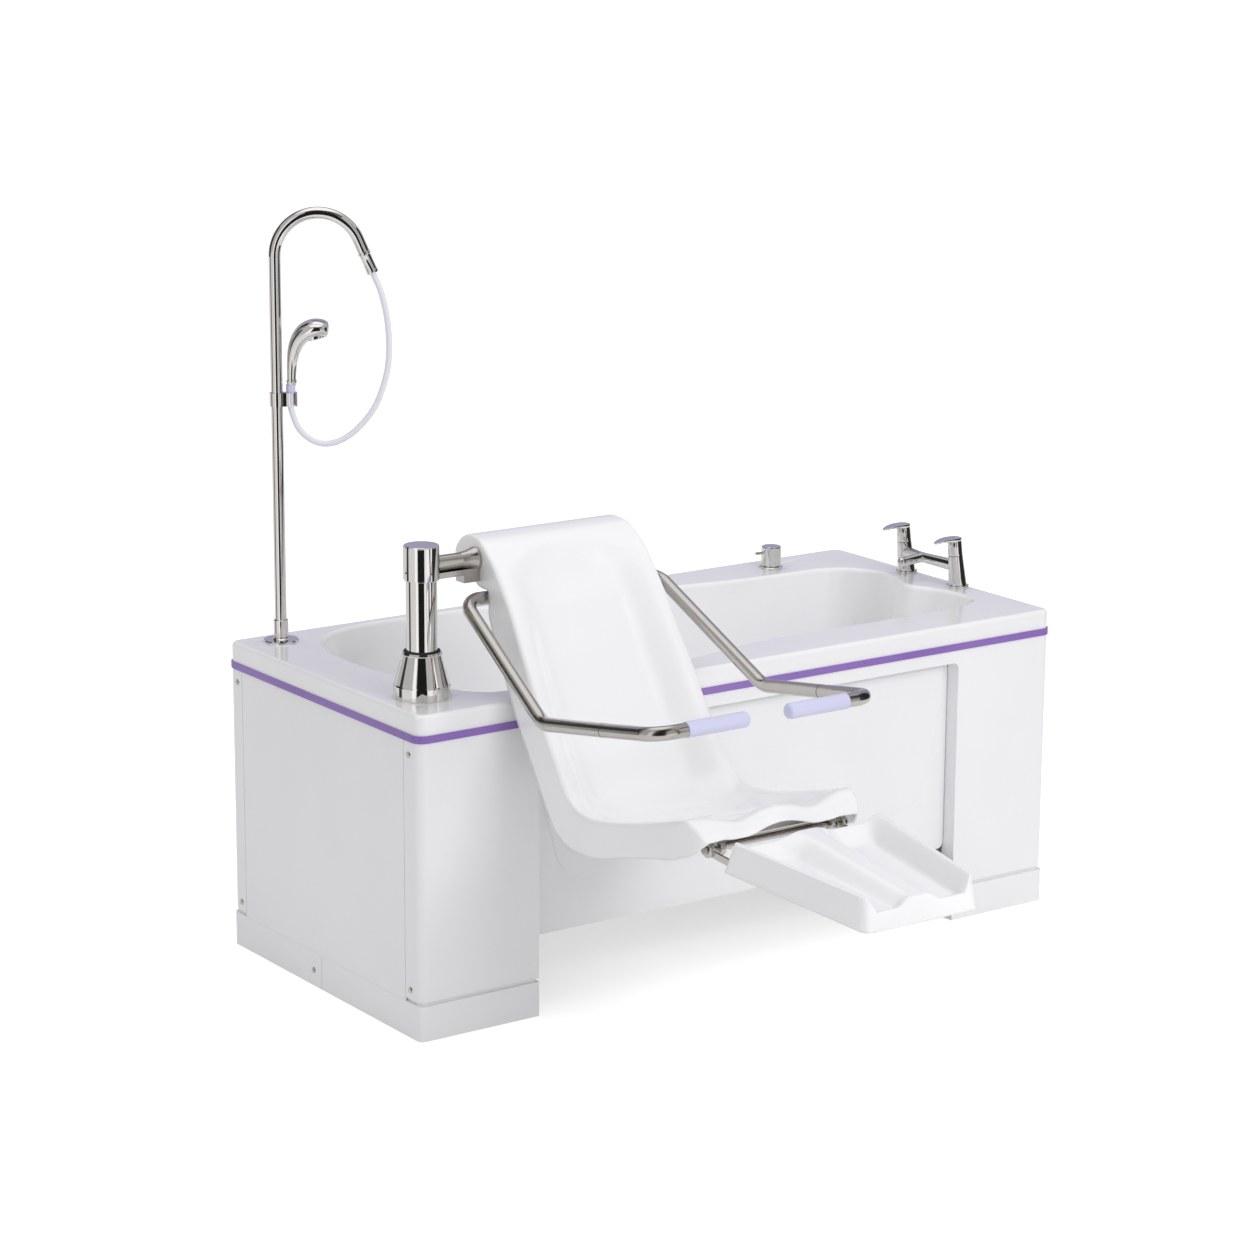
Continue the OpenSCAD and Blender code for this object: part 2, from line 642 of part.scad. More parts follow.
// Seat lift
head_bot = rim_h + head_z;
head_top = head_bot + head_h;
arm_z = head_top - arm_drop;
col_bore = column_d + 2 * column_fit;
module bell_collar() {
    color(chrome) translate([col[0], col[1], rim_h]) rotate_extrude($fn = 96) polygon([
        [col_bore / 2, 0], [bell_d / 2, 0], [bell_d / 2 + 0.5, 2], [bell_d / 2, bell_foot_h - 3],
        [bell_d / 2 - 1.5, bell_foot_h], [bell_top_d / 2 + 1.5, bell_h - 6], [bell_top_d / 2 + 2.5, bell_h - 4],
        [bell_top_d / 2, bell_h], [col_bore / 2, bell_h]]);
}
guide_z0 = 30;
module column_guide() {
    color(steel) {
        translate([col[0], col[1], guide_z0]) difference() {
            cylinder(d = guide_d, h = top_in - guide_z0);
            translate([0, 0, -1]) cylinder(d = col_bore, h = top_in);
        }
        for (z = [cross_z - 15, rail_z + 2]) difference() {
            box_at([-leg_x + frame_tube / 2, col[1] - 30, z], [col[0], col[1] + 30, z + 30]);
            translate([col[0], col[1], z - 1]) cylinder(d = guide_d - 1, h = 40);
        }
    }
}
module lift_base() {
    color(steel) translate([col[0], col[1], 0]) {
        cylinder(r = 44, h = guide_z0 - 12);
        cylinder(d = guide_d - 1, h = guide_z0);
    }
}
drive_top = rim_h - 35;
module lift_drive() {
    color(dark) translate([col[0], col[1], guide_z0]) difference() {
        cylinder(d = drive_d, h = drive_top - guide_z0);
        translate([0, 0, 30]) cylinder(d = rod_d + 0.16, h = drive_top);
    }
}
col_z0 = rim_h - 460;
spigot_top = head_top - 18;
module lift_column() {
    color(chrome) translate([col[0], col[1], col_z0]) difference() {
        cylinder(d = column_d, h = spigot_top - col_z0);
        translate([0, 0, -1]) cylinder(d = column_d - 2 * column_wall, h = spigot_top - col_z0 - 11);
    }
}
module lift_rod() {
    color(steel) translate([col[0], col[1], col_z0 - 20])
        cylinder(d = rod_d, h = spigot_top - 12 - col_z0 + 20);
}
module swivel_head() {
    color(chrome) translate([col[0], col[1], head_bot]) difference() {
        rotate_extrude($fn = 96) polygon([[0, 0], [head_d / 2 - 0.8, 0], [head_d / 2, 0.8],
            [head_d / 2, head_h - 3], [head_d / 2 - 0.6, head_h - 2.4], [head_d / 2 - 0.6, head_h - 1.2],
            [head_d / 2 - 1.8, head_h], [0, head_h]]);
        translate([0, 0, -1]) cylinder(d = col_bore, h = spigot_top - head_bot + 1 + seat_gap);
        for (a = [90, 180, 270]) translate([0, 0, screw_z]) rotate([0, 90, a]) cylinder(d = 6, h = head_d);
    }
}
screw_z = 17;
module grub_screws() {
    color(dark) translate([col[0], col[1], head_bot + screw_z]) for (a = [90, 180, 270])
        rotate([0, 90, a]) translate([0, 0, col_bore / 2 + 0.4]) difference() {
            cylinder(d = 6, h = head_d / 2 - col_bore / 2 - 1.4);
            translate([0, 0, 1.2]) cylinder(d = 3, h = 10, $fn = 6);
        }
}

// Seat axes and the lines of its moulding
sx = -seat_in;
arm_y = col[1];
arm_end = sx + 150;
module arm_tube() {
    color(steel) difference() {
        union() {
            bar([col[0] + 20, arm_y, arm_z], [arm_end, arm_y, arm_z], arm_d);
            bar([sx - flange_out - 9, arm_y, arm_z], [sx - flange_out - 3, arm_y, arm_z], arm_d + 8);
        }
        translate([col[0], col[1], head_bot]) cylinder(d = head_d, h = head_h, $fn = 96);
    }
}
flange_out = 186;
module arm_bracket() {
    z1 = arm_z - arm_d / 2;
    color(steel) difference() {
        union() {
            box_at([col[0] + 20, arm_y - 15, z1 - 12], [sx - rib_off - rib_t / 2, arm_y + 15, z1]);
            box_at([sx - flange_out - 36, arm_y - 15, z1 - 28], [sx - rib_off - rib_t / 2, arm_y + 15, z1 - 12]);
        }
        translate([col[0], col[1], head_bot - 5]) cylinder(d = head_d, h = head_h, $fn = 96);
        bar([sx - flange_out - 9.2, arm_y, arm_z], [sx - flange_out - 2.8, arm_y, arm_z], arm_d + 8.2);
    }
}

// Rows down the seat: lip y and z, skirt edge y and z, half width, dish depth
seat_rows = [
    [-167, 917, -196, 906, 183, 0], [-163, 946, -212, 902, 182, 0], [-178, 970, -226, 897, 180, 0],
    [-206, 983, -240, 890, 179, 1], [-240, 983, -251, 886, 181, 6], [-268, 975, -266, 885, 184, 12],
    [-310, 945, -284, 885, 187, 23], [-337, 915, -298, 884, 188, 26], [-370, 874, -303, 862, 189, 27],
    [-386, 851, -306, 830, 190, 28], [-434, 774, -352, 745, 194, 33], [-474, 714, -384, 700, 197, 36],
    [-514, 649, -417, 646, 199, 37], [-552, 596, -466, 576, 200, 36], [-583, 551, -520, 497, 201, 33],
    [-608, 527, -556, 453, 202, 30], [-647, 510, -600, 432, 203, 27], [-690, 509, -656, 429, 204, 25],
    [-740, 517, -720, 437, 204, 23], [-813, 533, -810, 462, 204, 21], [-883, 552, -885, 480, 204, 18],
    [-945, 570, -945, 493, 204, 12], [-973, 578, -965, 501, 204, 4], [-990, 578, -988, 509, 203, -2],
    [-1006, 569, -1006, 518, 201, -11], [-1018, 557, -1018, 530, 198, -16], [-1028, 543, -1027, 539, 193, -14]];
seat_line = open_curve(seat_rows, 2);
seat_n = len(seat_line);
dip_row = 44;
// Direction square to the lip's line, away from the sitter, by row
function seat_back(i) = let (a = seat_line[max(i - 1, 0)], b = seat_line[min(i + 1, seat_n - 1)],
    t = unit([b[0] - a[0], b[1] - a[1]])) [-t[1], t[0]];
// Depth of the dished face behind the lip's line, at x from the middle
function dish(i, x) = let (r = seat_line[i], w = r[4], u = abs(x), ease = 1 - smooth(w - 60, w - 24, u),
        deep = smooth(760, 920, -r[0]))
    r[5] * (1 - smooth(w - 92, w - 20, u)) + ease * deep * scoop * exp(-pow((u - 86) / 46, 2));
// Columns across the seat, from edge to edge
seat_half = [0.14, 0.28, 0.42, 0.56, 0.68, 0.78, 0.86, 0.92, 0.955, 0.985, 1];
seat_x = concat([for (i = [len(seat_half) - 1:-1:0]) -seat_half[i]], [0], seat_half);
lip_r = 9;
function lip_drop(d) = d < lip_r ? lip_r - sqrt(max(0, lip_r * lip_r - (lip_r - d) * (lip_r - d))) : 0;
// A point on the dished face, moved back by d
function face_pt(i, u, d) = let (r = seat_line[i], w = r[4], n = seat_back(i), m = seat_back(min(i, dip_row)),
        q = dish(i, u * w) + lip_drop((1 - abs(u)) * w))
    [sx + u * (w - d), r[0] + m[0] * q + n[0] * d, r[1] + m[1] * q + n[1] * d];
// One row of the outer face, skirt edge to skirt edge
function face_row(i, d) = let (r = seat_line[i], w = r[4] - d)
    concat([[sx - w, r[2], r[3]], [sx - w, mix(r[0], r[2], 0.5), mix(r[1], r[3], 0.5)]],
        [for (u = seat_x) face_pt(i, u, d)],
        [[sx + w, mix(r[0], r[2], 0.5), mix(r[1], r[3], 0.5)], [sx + w, r[2], r[3]]]);
module seat_skin() {
    sheet([for (i = [0:seat_n - 1]) face_row(i, 0)], [for (i = [0:seat_n - 1]) face_row(i, seat_t)]);
}
// The drain's place on the seat's face, square to it
drain_y = -755;
drain_z = 496.9;
drain_tilt = 13;
module drain_frame() {
    translate([sx, drain_y, drain_z]) rotate([-drain_tilt, 0, 0]) children();
}
// Slot in the skirt for the arm's saddle
slot_y = 18;
module seat_shell() {
    color(white) difference() {
        seat_skin();
        drain_frame() translate([0, 0, -40]) cylinder(d = drain_d, h = 60);
        bar([sx - 220, arm_y, arm_z], [sx - 100, arm_y, arm_z], arm_d + 1);
        box_at([sx - 220, arm_y - slot_y, arm_z - arm_d / 2 - 60], [sx - 150, arm_y + slot_y, arm_z]);
    }
}
// Sectioned ribs under the seat, cut to follow its hidden face
rib_gap = 0.3;
rib_first = 10;
rib_last = 42;
function rib_in(i) = let (r = seat_line[i], n = seat_back(i), q = max(dish(i, rib_off), dish(i, rib_off - 10))
    + seat_t + rib_gap) [r[0] + n[0] * q, r[1] + n[1] * q];
function rib_out(i) = rib_in(i) + seat_back(i) * rib_w * (1 - 0.4 * smooth(34, 42, i));
pivot = [-282, 867];
pivot_d = rest_d - 2 * rest_wall - 0.16;
hinge = [-1003, 521];
hinge_d = 10;
knuckle_d = 23;
knuckle_l = 12;
tray_knuckle_x = foot_w_rear - 25;
seat_knuckle_x = tray_knuckle_x - 25;
strip_z = 536;
module rib() {
    rotate([90, 0, 90]) linear_extrude(rib_t, center = true) difference() {
        union() {
            polygon(concat([for (i = [rib_first:rib_last]) rib_in(i)],
                [for (i = [rib_last:-1:rib_first]) rib_out(i)]));
            translate([arm_y, arm_z]) circle(d = arm_d + 20);
            translate(pivot) circle(d = pivot_d + 16);
            translate([-990, hinge[1] - 13]) square([42, strip_z - hinge[1] + 13]);
        }
        polygon(concat([for (i = [rib_first - 2:rib_last]) rib_in(i)],
            [[rib_in(rib_last)[0], 1100], [rib_in(rib_first - 2)[0], 1100]]));
        translate([arm_y, arm_z]) circle(d = arm_d + 0.1);
        translate(pivot) circle(d = pivot_d + 0.1);
        translate([-1100, strip_z]) square([152, 100]);
    }
}
module seat_frame() {
    color(steel) difference() {
        union() {
            for (s = [-1, 1]) translate([sx + s * rib_off, 0, 0]) rib();
            box_at([sx - seat_knuckle_x - knuckle_l, hinge[0] + 7, hinge[1] - 6],
                [sx + seat_knuckle_x + knuckle_l, hinge[0] + 27, hinge[1] + 6]);
            for (s = [-1, 1]) bar([sx + s * seat_knuckle_x, hinge[0], hinge[1]],
                [sx + s * (seat_knuckle_x + knuckle_l), hinge[0], hinge[1]], knuckle_d);
        }
        bar([sx - 170, hinge[0], hinge[1]], [sx + 170, hinge[0], hinge[1]], hinge_d + 0.1);
    }
}
module pivot_bar() {
    color(steel) bar([sx - rest_out + 37, pivot[0], pivot[1]], [sx + rest_out - 37, pivot[0], pivot[1]],
        pivot_d);
}
module hinge_rod() {
    e = tray_knuckle_x + knuckle_l;
    color(steel) {
        bar([sx - e - 1, hinge[0], hinge[1]], [sx + e + 1, hinge[0], hinge[1]], hinge_d);
        for (s = [-1, 1]) bar([sx + s * (e + 1), hinge[0], hinge[1]], [sx + s * (e + 6), hinge[0], hinge[1]], 17);
    }
}
module front_strip() {
    color(steel) box_at([sx - 120, hinge[0] - 8, strip_z], [sx + 120, hinge[0] + 30, strip_z + 3]);
}
// A dished disc with drain slots, let into the pan from below, a little under its face
shell_gap = seat_t + 0.5;
drain_deep = 3;
module seat_drain() {
    color(white) drain_frame() translate([0, 0, -shell_gap - 3]) difference() {
        union() {
            cylinder(d = drain_d + 8, h = 3);
            cylinder(d = drain_d - 1, h = 3 + shell_gap - drain_deep);
        }
        for (y = [-10, 0, 10]) translate([0, y, -1]) linear_extrude(12) hull() {
            for (x = [-9, 9]) translate([x, 0]) circle(d = 3, $fn = 16);
        }
    }
}

// Armrests: a bent tube each, then a swivelling end with its grip
rest_out = 235;
rest_path = [[rest_out - 65, pivot[0], pivot[1]], [rest_out, pivot[0], pivot[1]],
    [rest_out + 31, -612, 692], [rest_out + 25, -808, 723]];
grip_x = 190;
grip_in = grip_x - grip_l + 6;
end_path = [[rest_out + 25, -808, 723], [rest_out + 20, -971, 750], [grip_in, -971, 750]];
rest_dir = unit(rest_path[3] - rest_path[2]);
function side(p, s) = [for (q = p) [sx + s * q[0], q[1], q[2]]];
module armrest(s) {
    color(steel) bent_tube(side(rest_path, s), [0, 40, 60, 0], rest_d, rest_d - 2 * rest_wall);
}
module rest_end(s) {
    q = end_path[0] + rest_dir * 0.3;
    function at(v) = [sx + s * v[0], v[1], v[2]];
    color(steel) {
        bent_tube(side([q, end_path[1], end_path[2]], s), [0, 44, 0], rest_d, rest_d - 2 * rest_wall);
        bar(at(q - rest_dir * 28), at(q), pivot_d);
        bar(at(q), at(q + rest_dir * 12), rest_d - 2 * rest_wall + 1);
    }
}
// A sleeve over the tube's last stretch, closed at its inner end
module grip(s) {
    g = grip_d / 2;
    color(lilac) translate([sx + s * grip_x, -971, 750]) rotate([0, -90 * s, 0]) rotate_extrude()
        polygon([[rest_d / 2 + 0.05, 0], [g - 1, 0], [g, 1.5], [g, grip_l - 7], [g - 1, grip_l - 3.5],
            [g - 3.5, grip_l - 1], [g - 7, grip_l], [0, grip_l], [0, grip_l - 6], [rest_d / 2 + 0.05, grip_l - 6]]);
}
module armrest_left() { armrest(-1); }
module armrest_right() { armrest(1); }
module rest_end_left() { rest_end(-1); }
module rest_end_right() { rest_end(1); }
module grip_left() { grip(-1); }
module grip_right() { grip(1); }

// Footrest tray: rows along its length from the rear, points across
foot_y0 = -1098;
foot_z0 = 562;
foot_tilt = 4.8;
foot_draft = 0.3;
foot_steps = [0, 0.015, 0.06, 0.16, 0.36, 0.58, 0.78, 0.88, 0.945, 0.98, 1];
foot_half = [0.1, 0.2, 0.3, 0.38, 0.48, 0.58, 0.68, 0.77, 0.85, 0.91, 0.955, 0.985, 1];
foot_u = concat([for (i = [len(foot_half) - 1:-1:0]) -foot_half[i]], [0], foot_half);
function foot_w(v) = mix(foot_w_rear, foot_w_front, v) - 26 * (1 - sqrt(1 - pow(max(0, v - 0.92) / 0.081, 2)));
// Height of the tray's face: two channels, a broad ridge and a raised edge
function channel(u) = let (a = abs(u)) smooth(0.1, 0.42, a) * (1 - smooth(0.74, 0.93, a));
function foot_top(u, v) = -foot_channel * channel(u) * (0.4 + 0.6 * smooth(-0.05, 0.17, v))
        * (1 - 0.16 * smooth(0.88, 1, v))
    - mix(3, 15, smooth(0, 0.2, v)) * (1 - smooth(0.1, 0.42, abs(u)))
    - (abs(u) > 0.98 ? 3 : abs(u) > 0.95 ? 0.6 : 0) - 3 * smooth(0.96, 1, v);
// One row across the tray at v along it, moved inward by d; e drops it to the edge of an end wall
function foot_row(v, d, e = 0) = let (w = foot_w(v), y = -mix(d, foot_l - d, v), lean = foot_draft * (1 - 2 * v),
        z = e == 0 ? -foot_h : -foot_h - foot_lap,
        q = concat([[-w - 4 + d, z]],
            [for (u = foot_u) [foot_x(u, w, d), e == 0 ? foot_top(u, v) - foot_drop(u, v, d) : end_edge(u, v)]],
            [[w + 4 - d, z]]))
    [for (p = q) [p[0], y - lean * p[1], p[1]]];
// The hidden face lies straight below the tray and moves inward only at the side walls
function foot_x(u, w, d) = u * w - sign(u) * d * smooth(0.93, 1, abs(u));
function foot_drop(u, v, d) = let (g = (foot_top(u + 0.01, v) - foot_top(u - 0.01, v)) / (0.02 * foot_w(v)))
    d * min(1.8, sqrt(1 + g * g));
// How far the end walls hang below the side walls
foot_lap = 1.5;
// The rear wall stops above the hinge's arms
function end_edge(u, v) = v == 0 && abs(u) < 0.93 ? 18 - foot_h : -foot_h - foot_lap;
function foot_rows(d) = concat([foot_row(0, d, 1)], [for (v = foot_steps) foot_row(v, d)], [foot_row(1, d, 1)]);
module footrest() {
    color(white) translate([sx, foot_y0, foot_z0]) rotate([foot_tilt, 0, 0])
        sheet(foot_rows(0), foot_rows(foot_t));
}
// Two flat arms from the knuckles, joined by a plate under the channels
module footrest_hinge() {
    plate_z = -foot_channel - foot_t - 5;
    color(steel) difference() {
        union() {
            for (s = [-1, 1]) bar([sx + s * tray_knuckle_x, hinge[0], hinge[1]],
                [sx + s * (tray_knuckle_x + knuckle_l), hinge[0], hinge[1]], knuckle_d);
            translate([sx, foot_y0, foot_z0]) rotate([foot_tilt, 0, 0]) {
                for (s = [-1, 1]) {
                    box_at([s * (tray_knuckle_x + 3) - 3, -60, -foot_h + 1],
                        [s * (tray_knuckle_x + 3) + 3, 84, -foot_h + 14]);
                    box_at([s * (tray_knuckle_x + 3) - 3, -60, -foot_h + 1],
                        [s * (tray_knuckle_x + 3) + 3, -20, plate_z + 4.7]);
                }
                box_at([-tray_knuckle_x - 6, -60, plate_z], [tray_knuckle_x + 6, -20, plate_z + 4.7]);
            }
        }
        bar([sx - 170, hinge[0], hinge[1]], [sx + 170, hinge[0], hinge[1]], hinge_d + 0.16);
    }
}

// Shower: a plane through the riser's axis, turned towards the near side
function plane(h, z, s = 0) = [ris[0] + h * cos(neck_turn) + s * sin(neck_turn),
    ris[1] - h * sin(neck_turn) + s * cos(neck_turn), rim_h + z];
base_h = 47;
module riser_base() {
    color(chrome) translate([ris[0], ris[1], rim_h]) difference() {
        rotate_extrude($fn = 96) polygon([[0, 0], [37.7, 0], [37.7, 2.6], [36.4, 4.4], [20, 5.2], [17.5, 7.5],
            [17.5, 10.5], [15.8, 10.7], [15.8, base_h - 1], [14.8, base_h], [0, base_h]]);
        translate([0, 0, 8]) cylinder(d = riser_d + 0.1, h = base_h);
    }
}
neck_arc = 157;
neck_tail = 32;
arc_p = [neck_r - neck_r * cos(neck_arc), riser_straight + neck_r * sin(neck_arc)];
neck_d = [sin(neck_arc), cos(neck_arc)];
neck_e = arc_p + neck_d * neck_tail;
// Riser and swan neck as one rod, its ends reaching on by e
module neck_rod(d, e) {
    bar(plane(0, 8 - e), plane(0, riser_straight + 0.5), d);
    translate(plane(neck_r, riser_straight)) rotate([90, 0, -neck_turn]) rotate([0, 0, 180 - neck_arc])
        rotate_extrude(angle = neck_arc, $fn = 96) translate([neck_r, 0]) circle(d = d + bend_proud);
    bar(plane(arc_p[0] - neck_d[0] * 0.5, arc_p[1] - neck_d[1] * 0.5),
        plane(neck_e[0] + neck_d[0] * e, neck_e[1] + neck_d[1] * e), d);
}
module riser_tube() {
    color(chrome) difference() {
        neck_rod(riser_d, 0);
        neck_rod(riser_d - 3, 1);
    }
}
module riser_tail() {
    color(steel) translate([ris[0], ris[1], top_in - tail_l]) supply_tail();
}
// A supply tail under a flange, with the nut that draws it down on the rim
nut_t = 9;
module supply_tail() {
    difference() {
        union() {
            cylinder(d = tail_d, h = tail_l - nut_t);
            cylinder(d = tail_d - 1, h = tail_l + shell_t);
            translate([0, 0, tail_l - nut_t]) cylinder(d = 38, h = nut_t, $fn = 6);
        }
        translate([0, 0, -1]) cylinder(d = tail_d - 8, h = tail_l + shell_t + 2);
    }
}
con_l = 45;
con_e = neck_e + neck_d * con_l;
module hose_connector() {
    color(chrome) {
        bar(plane(neck_e[0], neck_e[1]), plane(neck_e[0] + neck_d[0] * 4, neck_e[1] + neck_d[1] * 4), 23);
        bar(plane(neck_e[0] + neck_d[0] * 4, neck_e[1] + neck_d[1] * 4), plane(con_e[0], con_e[1]), 21);
    }
}
nut_z = holder_z + holder_h;
nut_h = 16;
// Route of the hose: distance from the riser and height above the rim
hose_pts = [[con_e[0], con_e[1]], [con_e[0] + neck_d[0] * 14, con_e[1] - 13], [219, 744], [231, 690], [235, 628],
    [229, 570], [207, 507], [174, 462], [138, 434], [104, 424], [73, 431], [46, 455], [32, 488],
    [cup_off, holder_z], [cup_off, nut_z]];
module hose() {
    q = open_curve(hose_pts, 4);
    n = len(q);
    color(lilac) loft([for (i = [n - 1:-1:0]) let (a = q[max(i - 1, 0)], b = q[min(i + 1, n - 1)], t = unit(b - a),
        e = i == 0 ? neck_d : i == n - 1 ? [0, 1] : t)
        [for (j = [0:9]) let (c = hose_d / 2 * cos(j * 36), s = hose_d / 2 * sin(j * 36))
            plane(q[i][0] + e[1] * c, q[i][1] - e[0] * c, -s)]]);
}
module holder() {
    color(chrome) translate([ris[0], ris[1], rim_h + holder_z]) rotate([0, 0, -neck_turn])
        linear_extrude(holder_h) difference() {
            union() {
                circle(d = riser_d + 6);
                translate([cup_off, 0]) circle(d = 28);
                translate([0, -9]) square([cup_off, 18]);
            }
            circle(d = riser_d + 0.16);
            translate([cup_off, 0]) circle(d = hose_d + 3);
            translate([cup_off, 0]) rotate(-70) translate([0, -6.5]) square([30, 13]);
        }
}
module hose_nut() {
    color(lilac) translate(plane(cup_off, nut_z)) cylinder(d1 = 19, d2 = 20.5, h = nut_h);
}
// Rings up the handset: distance, height, half depth, half width, turn
hand_rows = [[29, 0, 10, 10, 0], [28.5, 32, 9.5, 10, 2], [30, 58, 11, 12, 10], [36, 82, 15, 18, 26],
    [48, 101, 19, 27, 48], [64, 112, 20.5, 35, 68], [84, 114, 19, 35, 84], [99, 108, 14, 27, 98], [108, 101, 7, 14, 108]];
hand_z = nut_z + nut_h;
// Middle of the spray face, and its direction outward and down
spray_at = [82, 101];
spray_dir = unit([0.42, -0.91]);
module spray_disc(a, b, d) {
    p = spray_at + spray_dir * a;
    q = spray_at + spray_dir * b;
    bar(plane(p[0], hand_z + p[1]), plane(q[0], hand_z + q[1]), d);
}
module handset() {
    rows = open_curve(hand_rows, 2);
    color(chrome) difference() {
        loft([for (r = rows) [for (j = [0:19]) let (a = j * 18, c = r[2] * cos(a), s = r[3] * sin(a))
            plane(r[0] + c * cos(r[4]), hand_z + r[1] - c * sin(r[4]), -s)]]);
        spray_disc(0, 20, spray_d);
    }
}
spray_d = 46;
module spray_face() {
    color(dark) spray_disc(0, 2.5, spray_d - 2);
}

// Bath filler: two leaning pillars, a bridge and a spout
lean_at = -tan(pillar_lean);
spindle_d = 10;
mid_y = 12;
bridge_h = 48;
module pillar_frame(s) {
    translate([fil_x, s * pillar_pitch / 2, rim_h]) rotate([0, -pillar_lean, 0]) children();
}
module filler_body() {
    hub = [fil_x - 20, mid_y, rim_h + bridge_h + 3];
    tip = [fil_x - spout_reach + 6, mid_y, rim_h + bridge_h - 1];
    color(chrome) difference() {
        union() {
            for (s = [-1, 1]) {
                translate([fil_x, s * pillar_pitch / 2, rim_h]) cylinder(d = 50, h = 4);
                intersection() {
                    pillar_frame(s) translate([0, 0, -8]) cylinder(d1 = pillar_d, d2 = 33, h = pillar_h + 8);
                    translate([fil_x - 60, s * pillar_pitch / 2 - 40, rim_h]) cube([120, 80, 100]);
                }
                pillar_frame(s) cylinder(d = spindle_d, h = pillar_h + 24);
                taper([fil_x + lean_at * bridge_h, s * pillar_pitch / 2, rim_h + bridge_h], hub, 28, 23);
            }
            translate(hub) sphere(d = 24);
            taper(hub, tip, 24, 19);
            translate(tip) sphere(d = 22.7);
            translate(tip + [-2, 0, -15]) cylinder(d = 16, h = 12);
        }
        translate(tip + [-2, 0, -16]) cylinder(d = 12, h = 8);
    }
}
// A cone between two points
module taper(a, b, da, db) {
    v = b - a;
    l = norm(v);
    translate(a) rotate([0, acos(v[2] / l), atan2(v[1], v[0])]) cylinder(d1 = da, d2 = db, h = l);
}
module filler_tails() {
    color(steel) for (s = [-1, 1]) translate([fil_x, s * pillar_pitch / 2, top_in - tail_l]) supply_tail();
}
// A lever: a round boss under a flat blade that droops towards its tip
module lever(s) {
    b = pillar_h + seat_gap;
    t = pillar_h + lever_h;
    r = lever_reach;
    pillar_frame(s) difference() {
        intersection() {
            union() {
                translate([0, 0, b]) cylinder(d1 = 33, d2 = 30, h = lever_h + 6);
                translate([0, 0, t - 20]) linear_extrude(30) {
                    circle(d = 33);
                    polygon([[0, -16.5], [-r * 0.6, -15], [-r * 0.9, -10], [-r, 0], [-r * 0.9, 10], [-r * 0.6, 15],
                        [0, 16.5]]);
                }
            }
            rotate([90, 0, 0]) linear_extrude(60, center = true) polygon([[17, b - 1], [17, t - 2], [12, t + 1.5],
                [0, t + 3], [-r * 0.3, t + 2], [-r * 0.65, t - 3], [-r * 0.95, t - 11], [-r - 2, t - 14],
                [-r * 0.9, t - 16], [-r * 0.6, t - 12], [-20, t - 11], [-17, t - 16], [-17, b - 1]]);
        }
        translate([0, 0, b - 1]) cylinder(d = spindle_d + 0.16, h = 26);
    }
}
module lever_hot() { color(chrome) lever(1); }
module lever_cold() { color(chrome) lever(-1); }

// Diverter: a turning barrel with a pin, on a collar over its valve
div_gap = 5;
module diverter_base() {
    color(chrome) translate([div[0], div[1], rim_h]) {
        rotate_extrude() polygon([[0, 0], [diverter_d / 2 + 4.5, 0], [diverter_d / 2 + 4.5, 2.5],
            [diverter_d / 2 + 2.5, 4], [diverter_d / 2 - 1.5, div_gap], [0, div_gap]]);
        cylinder(d = 16, h = 28);
        translate([0, 0, -shell_t - 50]) cylinder(d = diverter_d - 12, h = 51 + shell_t);
        translate([0, 0, -shell_t - 10]) cylinder(d = diverter_d + 6, h = 10, $fn = 6);
    }
}
module diverter_knob() {
    g = diverter_d / 2;
    z0 = div_gap + seat_gap;
    color(chrome) translate([div[0], div[1], rim_h]) difference() {
        union() {
            rotate_extrude() polygon([[0, z0], [g - 1, z0], [g, z0 + 1], [g, diverter_h - 3.5], [g - 0.8, diverter_h - 1.8],
                [g - 2.5, diverter_h - 0.8], [g * 0.5, diverter_h], [0, diverter_h + 0.2]]);
            translate([0, 0, diverter_h * 0.68]) rotate([0, -88, -5]) cylinder(d = 7, h = g + 20);
        }
        translate([0, 0, z0 - 1]) cylinder(d = 16.16, h = 26);
    }
}

tub();
trim_band();
surround_near();
surround_far();
recess_panel_near();
recess_panel_far();
end_panel_head();
end_panel_foot();
plinth_head_near();
plinth_head_far();
plinth_foot_near();
plinth_foot_far();
panel_screws();
frame_head();
frame_foot();
frame_rails();
levelling_feet();
shell_pads();
waste();
trap();
bell_collar();
column_guide();
lift_base();
lift_drive();
lift_column();
lift_rod();
swivel_head();
grub_screws();
arm_tube();
arm_bracket();
seat_frame();
pivot_bar();
seat_shell();
seat_drain();
hinge_rod();
front_strip();
armrest_left();
armrest_right();
rest_end_left();
rest_end_right();
grip_left();
grip_right();
footrest();
footrest_hinge();
riser_base();
riser_tube();
riser_tail();
hose_connector();
hose();
holder();
hose_nut();
handset();
spray_face();
filler_body();
filler_tails();
lever_hot();
lever_cold();
diverter_base();
diverter_knob();
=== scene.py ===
"""Assisted bath with a lifting, swivelling transfer seat. Metres; +X towards the taps, +Z up."""
import json
import math

import bmesh
import bpy
from mathutils import Matrix, Vector


